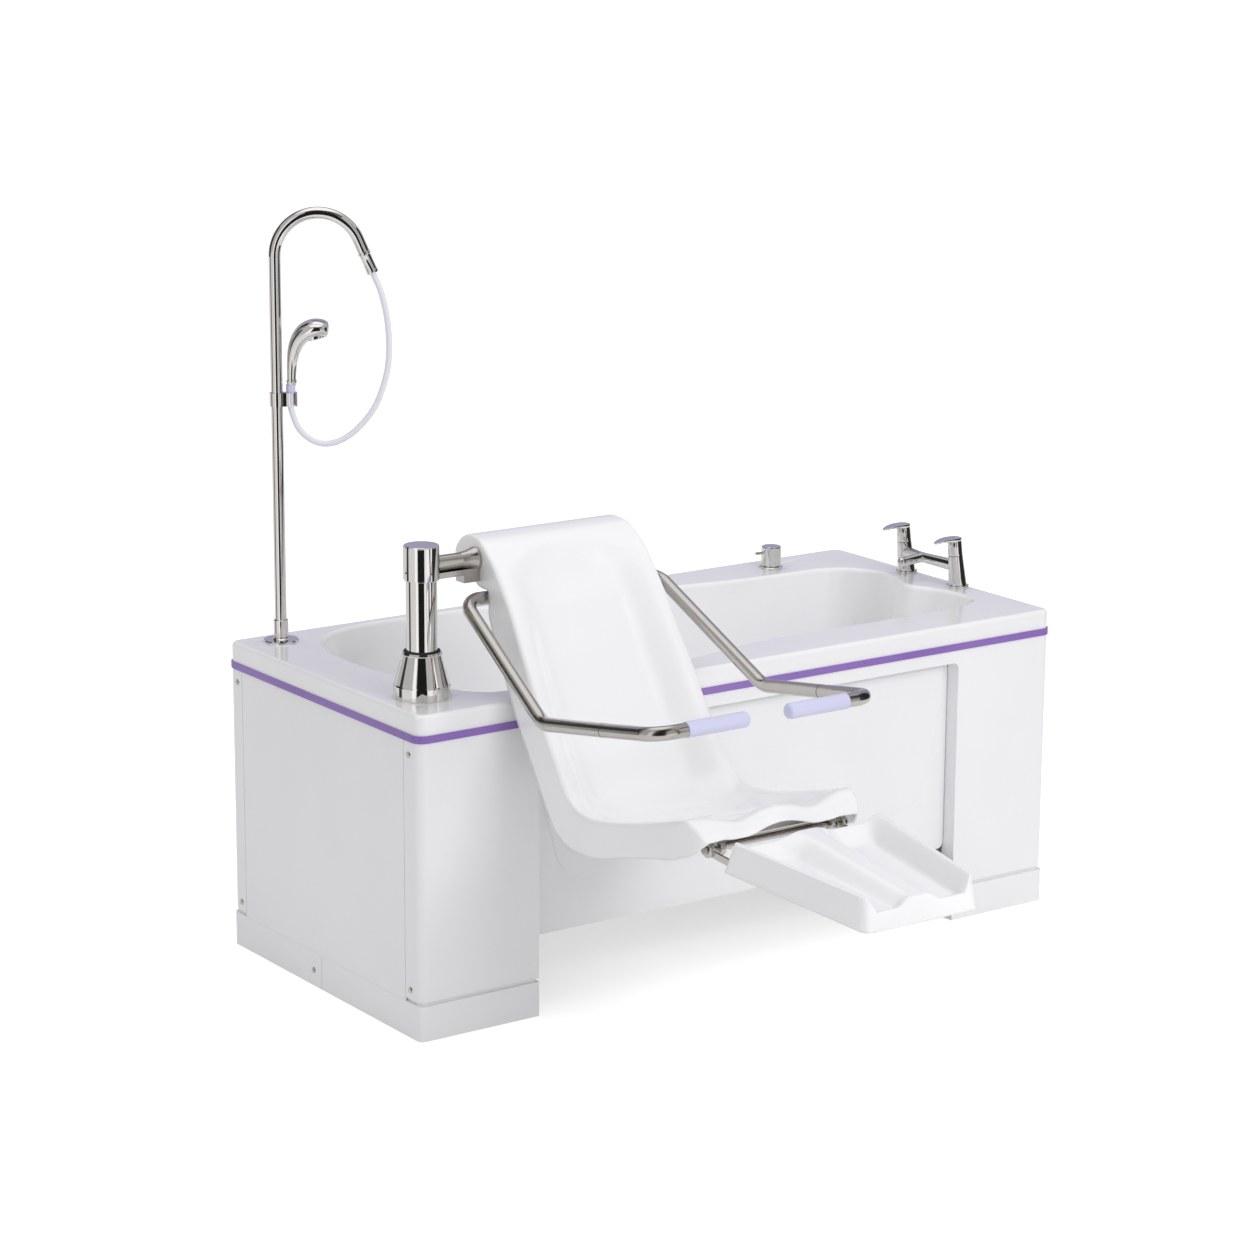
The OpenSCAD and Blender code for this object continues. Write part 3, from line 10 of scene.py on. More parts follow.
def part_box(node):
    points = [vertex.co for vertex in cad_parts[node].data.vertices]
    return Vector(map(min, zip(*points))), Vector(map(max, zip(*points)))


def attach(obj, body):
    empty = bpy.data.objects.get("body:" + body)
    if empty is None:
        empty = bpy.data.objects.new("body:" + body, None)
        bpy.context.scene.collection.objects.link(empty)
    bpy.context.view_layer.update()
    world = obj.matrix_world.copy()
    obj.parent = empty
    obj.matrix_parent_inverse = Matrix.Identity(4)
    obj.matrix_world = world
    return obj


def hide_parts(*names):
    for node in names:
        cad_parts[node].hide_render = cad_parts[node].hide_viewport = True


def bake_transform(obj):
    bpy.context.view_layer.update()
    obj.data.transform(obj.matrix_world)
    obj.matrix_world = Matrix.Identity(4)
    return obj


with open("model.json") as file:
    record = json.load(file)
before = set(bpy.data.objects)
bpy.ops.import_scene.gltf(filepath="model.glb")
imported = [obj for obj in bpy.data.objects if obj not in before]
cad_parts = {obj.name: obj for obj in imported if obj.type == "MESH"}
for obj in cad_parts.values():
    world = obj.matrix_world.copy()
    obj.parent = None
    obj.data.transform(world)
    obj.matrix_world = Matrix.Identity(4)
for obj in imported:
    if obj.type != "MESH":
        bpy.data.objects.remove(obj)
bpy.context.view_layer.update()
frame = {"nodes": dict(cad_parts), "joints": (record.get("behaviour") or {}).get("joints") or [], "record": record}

# Camera: solved from the photograph's long edges
CAMERA_AT = (-4.3799, -6.1101, 2.4880)
CAMERA_FORWARD = (0.5610, 0.7939, -0.2347)
CAMERA_RIGHT = (0.8174, -0.5760, 0.0055)
FOCAL_PIXELS = 3565.0
IMAGE_PIXELS = 1250.0
SENSOR_MM = 36.0


def new_object(name, data):
    """An object of the data, linked into the scene."""
    obj = bpy.data.objects.new(name, data)
    bpy.context.scene.collection.objects.link(obj)
    return obj


def make_camera():
    """The camera, set square to its forward direction."""
    forward = Vector(CAMERA_FORWARD).normalized()
    right = Vector(CAMERA_RIGHT)
    right = (right - forward * right.dot(forward)).normalized()
    up = right.cross(forward)
    data = bpy.data.cameras.new("camera")
    data.sensor_width = SENSOR_MM
    data.lens = FOCAL_PIXELS / IMAGE_PIXELS * SENSOR_MM
    camera = new_object("camera", data)
    turn = Matrix((right, up, -forward)).transposed().to_4x4()
    camera.matrix_world = Matrix.Translation(CAMERA_AT) @ turn
    bpy.context.scene.camera = camera


make_camera()
bpy.context.scene.view_settings.view_transform = "Standard"


# Materials
class Nodes:
    """A short way to build one material's nodes."""

    def __init__(self, name):
        self.material = bpy.data.materials.new(name)
        self.material.use_nodes = True
        self.tree = self.material.node_tree
        self.shader = self.tree.nodes["Principled BSDF"]

    def add(self, kind, **values):
        """A new node, with its inputs or settings given by name."""
        node = self.tree.nodes.new(kind)
        for key, value in values.items():
            if key in node.inputs:
                node.inputs[key].default_value = value
            else:
                setattr(node, key, value)
        return node

    def link(self, a, b):
        self.tree.links.new(a, b)

    def set(self, **values):
        """Sets the shader's inputs by name."""
        for key, value in values.items():
            self.shader.inputs[key.replace("_", " ")].default_value = value

    def coords(self, scale):
        """Object coordinates, stretched by scale on each axis."""
        source = self.add("ShaderNodeTexCoord")
        mapping = self.add("ShaderNodeMapping")
        mapping.inputs["Scale"].default_value = scale
        self.link(source.outputs["Object"], mapping.inputs["Vector"])
        return mapping.outputs["Vector"]

    def noise(self, vector, scale, detail, rough=0.5):
        """A cloudy value, finer with more detail and rough."""
        node = self.add("ShaderNodeTexNoise", Scale=scale, Detail=detail, Roughness=rough)
        self.link(vector, node.inputs["Vector"])
        return node.outputs["Fac"]

    def spread(self, value, low, high, start=0.3, end=0.7):
        """A value's middle range, mapped to low and high."""
        node = self.add("ShaderNodeMapRange")
        node.inputs["From Min"].default_value = start
        node.inputs["From Max"].default_value = end
        node.inputs["To Min"].default_value = low
        node.inputs["To Max"].default_value = high
        self.link(value, node.inputs["Value"])
        return node.outputs["Result"]

    def tint(self, value, low, high, start=0.3, end=0.7):
        """A colour ramp between two linear colours."""
        node = self.add("ShaderNodeValToRGB")
        node.color_ramp.elements[0].position = start
        node.color_ramp.elements[1].position = end
        node.color_ramp.elements[0].color = (*low, 1)
        node.color_ramp.elements[1].color = (*high, 1)
        self.link(value, node.inputs["Fac"])
        return node.outputs["Color"]

    def bump(self, value, strength, distance):
        """Lets a value stand as a relief of the surface."""
        node = self.add("ShaderNodeBump", Strength=strength, Distance=distance)
        self.link(value, node.inputs["Height"])
        self.link(node.outputs["Normal"], self.shader.inputs["Normal"])


# Textures: features per metre, depths in metres, and the shares of a roughness that a pattern runs between
COAT_ROUGH = 0.08
MOTTLE_SCALE = 3.0
POLISH_SCALE = 11.0
POLISH_LOW, POLISH_HIGH = 0.82, 1.25
SKIN_DEPTH = 0.0004
WIPE_STRETCH = (4, 4, 18)
WIPE_SCALE = 9.0
WIPE_FROM, WIPE_TO = 0.4, 0.75
WIPE_DARK = 0.96
LINE_SCALE = 60.0
LINE_FROM, LINE_TO = 0.25, 0.75
LINE_LOW, LINE_HIGH = 0.85, 1.2
LINE_STRENGTH = 0.04
LINE_DEPTH = 0.0001


def linear(r, g, b):
    """A screen colour, 0 to 255, as linear values."""
    return tuple(((c / 255 + 0.055) / 1.055) ** 2.4 if c > 10 else c / 255 / 12.92 for c in (r, g, b))


def plastic(name, low, high, rough, grain, bump, coat):
    """Moulded plastic or paint: faint mottling, uneven polish and a fine skin texture."""
    n = Nodes(name)
    at = n.coords((1, 1, 1))
    n.set(Coat_Weight=coat, Coat_Roughness=COAT_ROUGH)
    n.link(n.tint(n.noise(at, MOTTLE_SCALE, detail=4.0), low, high), n.shader.inputs["Base Color"])
    polish = n.noise(at, POLISH_SCALE, detail=5.0)
    n.link(n.spread(polish, rough * POLISH_LOW, rough * POLISH_HIGH), n.shader.inputs["Roughness"])
    n.bump(n.noise(at, grain, detail=2.0), bump, SKIN_DEPTH)
    return n.material


def polished(name, colour, rough, smear):
    """Plated metal with faint wipe marks in its polish."""
    n = Nodes(name)
    n.set(Metallic=1.0)
    wipe = n.noise(n.coords(WIPE_STRETCH), WIPE_SCALE, detail=5.0, rough=0.6)
    n.link(n.spread(wipe, rough, rough + smear, WIPE_FROM, WIPE_TO), n.shader.inputs["Roughness"])
    n.link(n.tint(wipe, tuple(c * WIPE_DARK for c in colour), colour), n.shader.inputs["Base Color"])
    return n.material


def brushed(name, dark, light, rough, stretch):
    """Satin metal: fine drawn lines along the axis that is stretched least."""
    n = Nodes(name)
    n.set(Metallic=1.0, Anisotropic=0.3)
    line = n.noise(n.coords(stretch), LINE_SCALE, detail=4.0)
    n.link(n.tint(line, dark, light, LINE_FROM, LINE_TO), n.shader.inputs["Base Color"])
    n.link(n.spread(line, rough * LINE_LOW, rough * LINE_HIGH), n.shader.inputs["Roughness"])
    n.bump(line, LINE_STRENGTH, LINE_DEPTH)
    return n.material


# Plastics and paint: two colours, roughness, grain per metre, strength of the grain, and coat
WHITE_LOW = linear(246, 246, 248)
WHITE_HIGH = linear(249, 249, 251)
PLASTICS = {
    "shell_white": (WHITE_LOW, WHITE_HIGH, 0.16, 260, 0.03, 0.35),
    "seat_white": (WHITE_LOW, WHITE_HIGH, 0.20, 320, 0.04, 0.3),
    "panel_white": (linear(243, 243, 246), linear(247, 247, 249), 0.34, 500, 0.08, 0.0),
    "trim_purple": (linear(138, 104, 184), linear(150, 117, 194), 0.32, 700, 0.12, 0.1),
    "grip_lilac": (linear(206, 206, 236), linear(216, 216, 245), 0.40, 900, 0.2, 0.15),
    "hose_clear": (linear(238, 237, 249), linear(246, 245, 253), 0.24, 300, 0.05, 0.2),
    "dark_rubber": ((0.018, 0.018, 0.020), (0.03, 0.03, 0.033), 0.7, 800, 0.3, 0.0),
    "dark_plastic": ((0.03, 0.03, 0.034), (0.05, 0.05, 0.055), 0.4, 600, 0.15, 0.0),
    "frame_steel": ((0.16, 0.165, 0.175), (0.21, 0.215, 0.225), 0.5, 420, 0.2, 0.0),
}
MATERIALS = {name: plastic(name, *look) for name, look in PLASTICS.items()}
MATERIALS["chrome"] = polished("chrome", (0.80, 0.775, 0.755), 0.035, 0.05)
MATERIALS["brass"] = polished("brass", (0.70, 0.55, 0.28), 0.18, 0.12)
MATERIALS["stainless"] = brushed("stainless", (0.50, 0.47, 0.44), (0.60, 0.57, 0.54), 0.19, (14, 5, 14))


def dress_nodes():
    """Every CAD node takes the material of its own slot."""
    slots = {row["node"]: row["material_slot"] for row in frame["record"]["subparts"]}
    for name, obj in frame["nodes"].items():
        obj.data.materials.clear()
        obj.data.materials.append(MATERIALS[slots[name]])


dress_nodes()


# Small helpers for modelled pieces, whose numbers are in millimetres
MM = 0.001
SHEET_ANGLE = 40
SOLID_ANGLE = 35


def smooth(a, b, v):
    """An eased step from 0 at a to 1 at b."""
    u = max(0.0, min(1.0, (v - a) / (b - a)))
    return u * u * (3 - 2 * u)


def mix(a, b, f):
    return a + (b - a) * f


def catmull(a, b, c, d, t):
    """A point a share t of the way from b to c, on a smooth line through all four."""
    return tuple(
        0.5 * (2 * q + (r - p) * t + (2 * p - 5 * q + 4 * r - s) * t * t + (3 * q - p - 3 * r + s) * t ** 3)
        for p, q, r, s in zip(a, b, c, d))


def on_line(rows, at):
    """A smooth open line through rows, read at a row number with a fraction."""
    last = len(rows) - 1
    i = min(int(at), last - 1)
    return catmull(rows[max(i - 1, 0)], rows[i], rows[i + 1], rows[min(i + 2, last)], at - i)


def closed_line(points, steps):
    """A smooth closed line through points."""
    n = len(points)
    return [catmull(points[i - 1], points[i], points[(i + 1) % n], points[(i + 2) % n], j / steps)
            for i in range(n) for j in range(steps)]


def add_piece(name, mesh, body, slot, nodes, smooth_angle):
    """A piece of a mesh: smooth up to an angle, riding on a body if one is named, for its CAD nodes."""
    mesh.materials.append(MATERIALS[slot])
    mesh.polygons.foreach_set("use_smooth", [True] * len(mesh.polygons))
    mesh.set_sharp_from_angle(angle=math.radians(smooth_angle))
    obj = new_object(name, mesh)
    if body:
        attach(obj, body)
    if nodes:
        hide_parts(*nodes)
    return obj


def new_piece(name, verts, faces, body, slot, *nodes, smooth_angle=SHEET_ANGLE):
    """A piece from points in millimetres."""
    mesh = bpy.data.meshes.new(name)
    mesh.from_pydata([tuple(c * MM for c in v) for v in verts], [], faces)
    return add_piece(name, mesh, body, slot, nodes, smooth_angle)


def thicken(obj, wall):
    """Gives a sheet its wall, inward from its face, baked into its mesh."""
    modifier = obj.modifiers.new("wall", "SOLIDIFY")
    modifier.thickness = wall * MM
    modifier.offset = -1
    depsgraph = bpy.context.evaluated_depsgraph_get()
    mesh = bpy.data.meshes.new_from_object(obj.evaluated_get(depsgraph))
    obj.modifiers.clear()
    obj.data = mesh


def grid_faces(rows, columns, closed=False, flip=False):
    """Faces between rows of points, closed into rings or left open."""
    faces = []
    for i in range(rows - 1):
        for j in range(columns if closed else columns - 1):
            a = i * columns + j
            b = i * columns + (j + 1) % columns
            face = (a, b, b + columns, a + columns)
            faces.append(face[::-1] if flip else face)
    return faces


def round_about(at, axis, r, count):
    """Points spread evenly round an axis."""
    across = axis.orthogonal().normalized()
    other = axis.cross(across)
    turns = (math.tau * k / count for k in range(count))
    return [at + (across * math.cos(a) + other * math.sin(a)) * r for a in turns]


class Solid:
    """A piece gathered from lofts of closed rings of millimetre points."""

    def __init__(self):
        self.verts = []
        self.faces = []

    def loft(self, rings, caps=True):
        """Skins a row of rings, and closes its ends if caps are wanted."""
        base = len(self.verts)
        count = len(rings[0])
        for ring in rings:
            self.verts += ring
        self.faces += [tuple(base + i for i in face) for face in grid_faces(len(rings), count, closed=True)]
        if caps:
            self.faces.append(tuple(base + i for i in reversed(range(count))))
            self.faces.append(tuple(range(len(self.verts) - count, len(self.verts))))

    def turned(self, at, axis, profile, sides, caps=True):
        """A profile of radius and distance along the axis, turned about it."""
        axis = Vector(axis).normalized()
        self.loft([[tuple(p) for p in round_about(Vector(at) + axis * h, axis, r, sides)]
                   for r, h in profile], caps)

    def make(self, name, body, slot, *nodes):
        return new_piece(name, self.verts, self.faces, body, slot, *nodes, smooth_angle=SOLID_ANGLE)


# Seat moulding: rows of lip y and z, skirt edge y and z, half width, depth of the dish
SEAT_X = -420.0
SEAT_WALL = 6.0
SEAT_ROWS = [
    (-167, 917, -196, 906, 183, 0), (-163, 946, -212, 902, 182, 0), (-178, 970, -226, 897, 180, 0),
    (-206, 983, -240, 890, 179, 1), (-240, 983, -251, 886, 181, 6), (-268, 975, -266, 885, 184, 13),
    (-310, 945, -284, 885, 187, 24), (-337, 915, -298, 884, 188, 26), (-370, 874, -303, 862, 189, 27),
    (-386, 851, -306, 830, 190, 28), (-434, 774, -352, 745, 194, 33), (-474, 714, -384, 700, 197, 36),
    (-514, 649, -417, 646, 199, 37), (-552, 596, -466, 576, 200, 36), (-583, 551, -520, 497, 201, 33),
    (-608, 527, -556, 453, 202, 30), (-647, 510, -600, 432, 203, 27), (-690, 509, -656, 429, 204, 25),
    (-740, 517, -720, 437, 204, 23), (-813, 533, -810, 462, 204, 21), (-883, 552, -885, 480, 204, 18),
    (-945, 570, -945, 493, 203, 12), (-973, 578, -965, 501, 200.5, 4), (-990, 578, -988, 509, 197, -2),
    (-1006, 569, -1006, 518, 192, -11), (-1018, 557, -1018, 530, 186, -16),
    (-1028, 543, -1027, 539, 177, -14)]
LIP_R = 9.0
LIP_SHARE = 0.6
FRONT_ROW = 22.0

# Steps between rows: closest over the drain, then at the front lip
DRAIN_FROM, DRAIN_TO, DRAIN_STEP = 17.75, 18.65, 0.05
LIP_FROM, LIP_STEP = 20, 0.125
ROW_STEP = 0.1667
NORMAL_REACH = 0.25
ARC_STEPS = 20

# Hollow behind the lip: its border, the arch where it starts in the back, and how fast it deepens there
BORDER_IN, BORDER_OUT = 92, 18
ARCH_TOP, ARCH_DROP = 970, 30
ARCH_FROM, ARCH_TO = 30, 165
ARCH_ROW, PAN_ROW = 4, 14
HOLLOW_START, HOLLOW_RATE = 5, 0.62

# Thigh scoops and drain dimple
SCOOP = 16.0
SCOOP_FROM, SCOOP_TO = 760, 920
SCOOP_X, SCOOP_HALF = 86, 46
EASE_IN, EASE_OUT = 60, 24
DRAIN_Y = -755.0
DRAIN_ROW = 16
DRAIN_DEEP = 3.2
DRAIN_R, DRAIN_EDGE_R = 20.5, 24.5
DRAIN_SQUASH = 0.975


def row_step(at):
    """The step from a row number to the next."""
    if DRAIN_FROM < at < DRAIN_TO:
        return DRAIN_STEP
    return LIP_STEP if at > LIP_FROM else ROW_STEP


def seat_params():
    """Row numbers along the seat, from its rolled head to its front lip."""
    out = []
    at = 0.0
    while at < len(SEAT_ROWS) - 1 - 1e-6:
        out.append(at)
        at += row_step(at)
    return out + [len(SEAT_ROWS) - 1.0]


def seat_normal(at):
    """Square to the lip's line in y and z, away from the sitter."""
    a = on_line(SEAT_ROWS, max(at - NORMAL_REACH, 0))
    b = on_line(SEAT_ROWS, min(at + NORMAL_REACH, len(SEAT_ROWS) - 1))
    dy, dz = b[0] - a[0], b[1] - a[1]
    size = math.hypot(dy, dz)
    return -dz / size, dy / size


def seat_arc():
    """Row number, length so far and height along the lip's line."""
    table = []
    total = 0.0
    last = SEAT_ROWS[0]
    for k in range(0, (len(SEAT_ROWS) - 1) * ARC_STEPS + 1):
        row = on_line(SEAT_ROWS, k / ARC_STEPS)
        total += math.hypot(row[0] - last[0], row[1] - last[1])
        table.append((k / ARC_STEPS, total, row[1]))
        last = row
    return table


ARC = seat_arc()


def arc_at(at):
    """Length along the lip's line at a row number."""
    return ARC[min(int(round(at * ARC_STEPS)), len(ARC) - 1)][1]


def arch_arc(x):
    """Where the back's hollow begins: an arch, highest in the middle."""
    height = ARCH_TOP - ARCH_DROP * smooth(ARCH_FROM, ARCH_TO, abs(x))
    for at, total, z in ARC:
        if at > ARCH_ROW and z < height:
            return total
    return 0.0


def seat_hollow(at, x, row):
    """Depth of the face behind the lip's line."""
    y, w, deep = row[0], row[4], row[5]
    border = 1 - smooth(w - BORDER_IN, w - BORDER_OUT, abs(x))
    if 0 < deep and at < PAN_ROW:
        run = max(0.0, arc_at(at) - arch_arc(x))
        run = run * run / (run + HOLLOW_START)
        deep = deep * (1 - math.exp(-HOLLOW_RATE * run / deep))
    ease = 1 - smooth(w - EASE_IN, w - EASE_OUT, abs(x))
    lobe = smooth(SCOOP_FROM, SCOOP_TO, -y) * SCOOP * math.exp(-((abs(x) - SCOOP_X) / SCOOP_HALF) ** 2)
    hollow = deep * border + ease * lobe
    if at > DRAIN_ROW:
        from_drain = math.hypot(x, (y - DRAIN_Y) / DRAIN_SQUASH)
        hollow += DRAIN_DEEP * (1 - smooth(DRAIN_R, DRAIN_EDGE_R, from_drain))
    return hollow


# Columns from the seat's side to its middle: true millimetres to EDGE_TRUE, then shares of EDGE_MIDDLE
SEAT_EDGE = [0, 0.35, 1.1, 2.3, 4.0, 6.3, 9.0, 13, 18, 25, 33, 42, 52, 62, 73, 84, 95, 106, 117, 128,
             138, 147, 156, 164, 170, 174, 177, 180, 183, 187, 191, 195, 200]
EDGE_TRUE, EDGE_MIDDLE = 13, 200
SKIRT = [0.1, 0.28, 0.5, 0.72, 0.9, 1.0]


def rounding(edge, r):
    """How far a rounded edge of radius r has fallen at a distance in from the side."""
    return r - math.sqrt(max(0, r * r - (r - edge) ** 2))


def seat_moulding():
    """The walled seat, from its rows: a half, mirrored, with a skirt on each side."""
    verts = []
    params = seat_params()
    for at in params:
        row = on_line(SEAT_ROWS, at)
        w = row[4]
        ny, nz = seat_normal(min(at, FRONT_ROW))
        skirt = math.hypot(row[2] - row[0], row[3] - row[1])
        lip = min(LIP_R, LIP_SHARE * skirt)
        half = []
        for edge in SEAT_EDGE:
            x = w * (1 - edge / EDGE_MIDDLE) if edge > EDGE_TRUE else w - edge
            drop = rounding(edge * lip / LIP_R, lip) if edge < LIP_R else 0
            q = seat_hollow(at, x, row) + drop
            half.append((x, row[0] + ny * q, row[1] + nz * q))
        first = half[0]
        flank = [(w, mix(first[1], row[2], f), mix(first[2], row[3], f)) for f in SKIRT]
        side = list(reversed(flank)) + half
        left = [(SEAT_X - p[0], p[1], p[2]) for p in side]
        right = [(SEAT_X + p[0], p[1], p[2]) for p in reversed(side[:-1])]
        verts += left + right
    columns = 2 * (len(SEAT_EDGE) + len(SKIRT)) - 1
    faces = grid_faces(len(params), columns, flip=True)
    seat = new_piece("seat_moulding", verts, faces, "seat", "seat_white", "seat_shell")
    thicken(seat, SEAT_WALL)


seat_moulding()

# Footrest tray, drawn in its own tilted frame at the middle of its rear edge
TRAY_AT = (-420.0, -1098.0, 562.0)
TRAY_TILT = math.radians(4.8)
TRAY_L = 330.0
TRAY_REAR = 176.0
TRAY_FRONT = 128.0
TRAY_H = 62.0
TRAY_WALL = 5.0
TRAY_CORNER = 15.0
TRAY_LIP = 3.6

# Leg channels, as shares of the half width and of the length, and the ridge between them
CHANNEL_DEEP = 40
CHANNEL_REAR = 0.4
CHANNEL_EASE = 0.17
CHANNEL_FRONT = 31
FRONT_FROM, FRONT_TO = 0.93, 0.985
CHANNEL_IN = (0.07, 0.40)
CHANNEL_OUT = (0.76, 0.955)
RIDGE_REAR, RIDGE_FRONT = 3, 17
RIDGE_SIDE = (0.04, 0.36)

# Skirt: shares of its height, lean at the ends, draught at the sides, bead at the foot, notch at the rear
TRAY_DROP = [0.12, 0.5, 0.9, 0.92, 1.0]
TRAY_LEAN = 0.3
TRAY_DRAUGHT = 4
BEAD = 1.2
BEAD_FROM = 0.91
REAR_LOW = -44
REAR_CORNER = 0.93

# Rows along the tray and columns across its half, as shares, closer together at the edges
TRAY_ALONG = ([0, 0.001, 0.0035, 0.007, 0.011, 0.017, 0.025, 0.035, 0.045]
              + [0.07 + 0.028 * i for i in range(30)]
              + [0.905, 0.925, 0.94, 0.952, 0.962, 0.971, 0.979, 0.986, 0.991, 0.995, 0.998, 1])
TRAY_ACROSS = ([0, 0.012, 0.035, 0.065] + [0.1 + 0.03 * i for i in range(27)]
               + [0.905, 0.928, 0.945, 0.958, 0.969, 0.978, 0.986, 0.992, 0.997, 1])


def tray_half(v):
    """Half width at v along the tray, with rounded corners in plan."""
    y = v * TRAY_L
    half = mix(TRAY_REAR, TRAY_FRONT, v)
    for near in (y, TRAY_L - y):
        if near < TRAY_CORNER:
            half -= rounding(near, TRAY_CORNER)
    return half


def tray_top(x, v):
    """Height of the face: two leg channels beside a ridge, in a raised edge."""
    half = mix(TRAY_REAR, TRAY_FRONT, v)
    a = abs(x) / half
    channel = smooth(*CHANNEL_IN, a) * (1 - smooth(*CHANNEL_OUT, a))
    deep = CHANNEL_DEEP * mix(CHANNEL_REAR, 1, smooth(0.0, CHANNEL_EASE, v))
    deep = mix(deep, CHANNEL_FRONT, smooth(FRONT_FROM, FRONT_TO, v))
    ridge = mix(RIDGE_REAR, RIDGE_FRONT, v) * (1 - smooth(*RIDGE_SIDE, a))
    edge = min(tray_half(v) - abs(x), v * TRAY_L, (1 - v) * TRAY_L)
    lip = rounding(edge, TRAY_LIP) if edge < TRAY_LIP else 0
    return -deep * channel - ridge - lip


def tray_place(x, y, z):
    """A point of the tray's own frame, in the scene."""
    c, s = math.cos(TRAY_TILT), math.sin(TRAY_TILT)
    return TRAY_AT[0] + x, TRAY_AT[1] + y * c - z * s, TRAY_AT[2] + y * s + z * c


def footrest_tray():
    """The walled tray: its face and its skirt on all four sides, in rows from rear to front."""
    verts = []
    rows = [(0, 1.0), (0, 0.5)] + [(v, 0) for v in TRAY_ALONG] + [(1, fall) for fall in TRAY_DROP]
    for v, fall in rows:
        half = tray_half(v)
        lean = TRAY_LEAN * (1 - 2 * v)
        step = BEAD if fall > BEAD_FROM and v > 0 else 0
        side = []
        for u in TRAY_ACROSS:
            x = u * half
            low = -TRAY_H if v > 0 or u > REAR_CORNER else REAR_LOW
            z = mix(tray_top(x, v), low, fall)
            side.append((x, -v * TRAY_L - lean * z - step, z))
        edge = side[-1]
        for f in TRAY_DROP:
            z = mix(edge[2], -TRAY_H, f)
            out = TRAY_DRAUGHT * f + (BEAD if f > BEAD_FROM else 0)
            side.append((edge[0] + out, -v * TRAY_L - lean * z, z))
        row = [(-p[0], p[1], p[2]) for p in reversed(side)] + side[1:]
        verts += [tray_place(*p) for p in row]
    columns = 2 * (len(TRAY_ACROSS) + len(TRAY_DROP)) - 1
    faces = grid_faces(len(rows), columns, flip=True)
    tray = new_piece("footrest_tray", verts, faces, "tray", "seat_white", "footrest")
    thicken(tray, TRAY_WALL)


footrest_tray()


# Tub: one moulded sheet from the rim's outer face over its edge and down into the basin
RIM_Z = 675.0
BATH_L = 1650.0
BATH_W = 760.0
BAND_TOP = 633.5
BASIN_DEEP = 425.0
SHELL_WALL = 6.0
EDGE_R = 9.0
CORNER_R = 22.0
CORNER_TUCK = 0.6
CORNER_STEPS = 12
ROLL_STEPS = 8
CIRCLE_STEPS = 48
BASIN_EDGE_STEPS = 6
LEVEL_ENOUGH = 0.9

# Basin's edge, anticlockwise from the head end's near corner; YN2 and YF2 are its narrower part's sides
XH, XF, YN, YF = -700.0, 750.0, -300.0, 345.0
YN2, YF2 = YN + 52, YF - 120
BASIN_EDGE = [
    (XH + 138, YN + 5), (XH + 330, YN), (XH + 560, YN + 4), (XH + 770, YN2 - 6), (XF - 570, YN2),
    (XF - 420, YN2), (XF - 230, YN2 + 1), (XF - 90, YN2 + 9), (XF - 32, YN2 + 23), (XF - 8, YN2 + 50),
    (XF, YN2 + 103), (XF - 14, YN2 + 172), (XF - 39, YN2 + 228), (XF - 31, YN2 + 272), (XF - 15, YF2 - 164),
    (XF - 4, YF2 - 120), (XF - 11, YF2 - 84), (XF - 30, YF2 - 46), (XF - 66, YF2 - 16), (XF - 105, YF2 - 3),
    (XF - 150, YF2), (XF - 235, YF2 + 4), (XF - 325, YF2 + 12), (XF - 480, YF2 + 38), (XH + 800, YF - 52),
    (XH + 600, YF - 22), (XH + 450, YF - 7), (XH + 290, YF), (XH + 170, YF - 4), (XH + 84, YF - 36),
    (XH + 36, YF - 90), (XH + 11, YF - 160), (XH + 1, YF - 245), (XH + 4, YN + 320), (XH + 16, YN + 240),
    (XH + 32, YN + 165), (XH + 50, YN + 85), (XH + 84, YN + 28)]

# Basin's wall: shares of its height and of the way to the floor's outline, from the floor up
BASIN_STEPS = [(0, 1.0), (0.012, 0.80), (0.05, 0.60), (0.13, 0.44), (0.30, 0.31), (0.55, 0.20),
               (0.80, 0.11), (0.97, 0)]
ROWS_PER_STEP = 4
FLOOR_X0, FLOOR_X1 = XH + 250, XF - 110
FLOOR_NARROWER = 0.62
BASIN_MID = (YN2 + YF2) / 2
FLUTE_FROM, FLUTE_TO = (XF - 245, XF - 232), (XF - 128, XF - 112)
FLUTE_DEEP = 26
LIP_ROLL = 13.0
LIP_OUT = LIP_ROLL * 0.8

# What passes through the tub: places in plan, and the radii of their holes
COLUMN_AT = (-732.5, -248.0)
RISER_AT = (-734.0, 314.0)
FILLER_X = 799.5
PILLAR_Y = 91.0
DIVERTER_AT = (565.0, 301.0)
WASTE_AT = (495.0, 0.0)
WASTE_R = 24
HOLES = [(COLUMN_AT, 33.7), (RISER_AT, 14), (DIVERTER_AT, 17.5),
         ((FILLER_X, PILLAR_Y), 14), ((FILLER_X, -PILLAR_Y), 14)]


def outward(points, d):
    """A closed plan line moved outward by d, for lines that run anticlockwise."""
    out = []
    for i, p in enumerate(points):
        a, b = points[i - 1], points[(i + 1) % len(points)]
        tx, ty = b[0] - a[0], b[1] - a[1]
        size = math.hypot(tx, ty)
        out.append((p[0] + d * ty / size, p[1] - d * tx / size))
    return out


def basin_ring(edge, f):
    """The basin's outline a share f of the way to its floor; flutes deepen in the far wall."""
    out = []
    for x, y in edge:
        fx = mix(FLOOR_X0, FLOOR_X1, (x - XH) / (XF - XH))
        fy = BASIN_MID + (y - BASIN_MID) * FLOOR_NARROWER
        flute = smooth(*FLUTE_FROM, x) * (1 - smooth(*FLUTE_TO, x)) if y > 0 else 0
        out.append((mix(x, fx, f), mix(y, fy, f) + FLUTE_DEEP * f * flute))
    return out


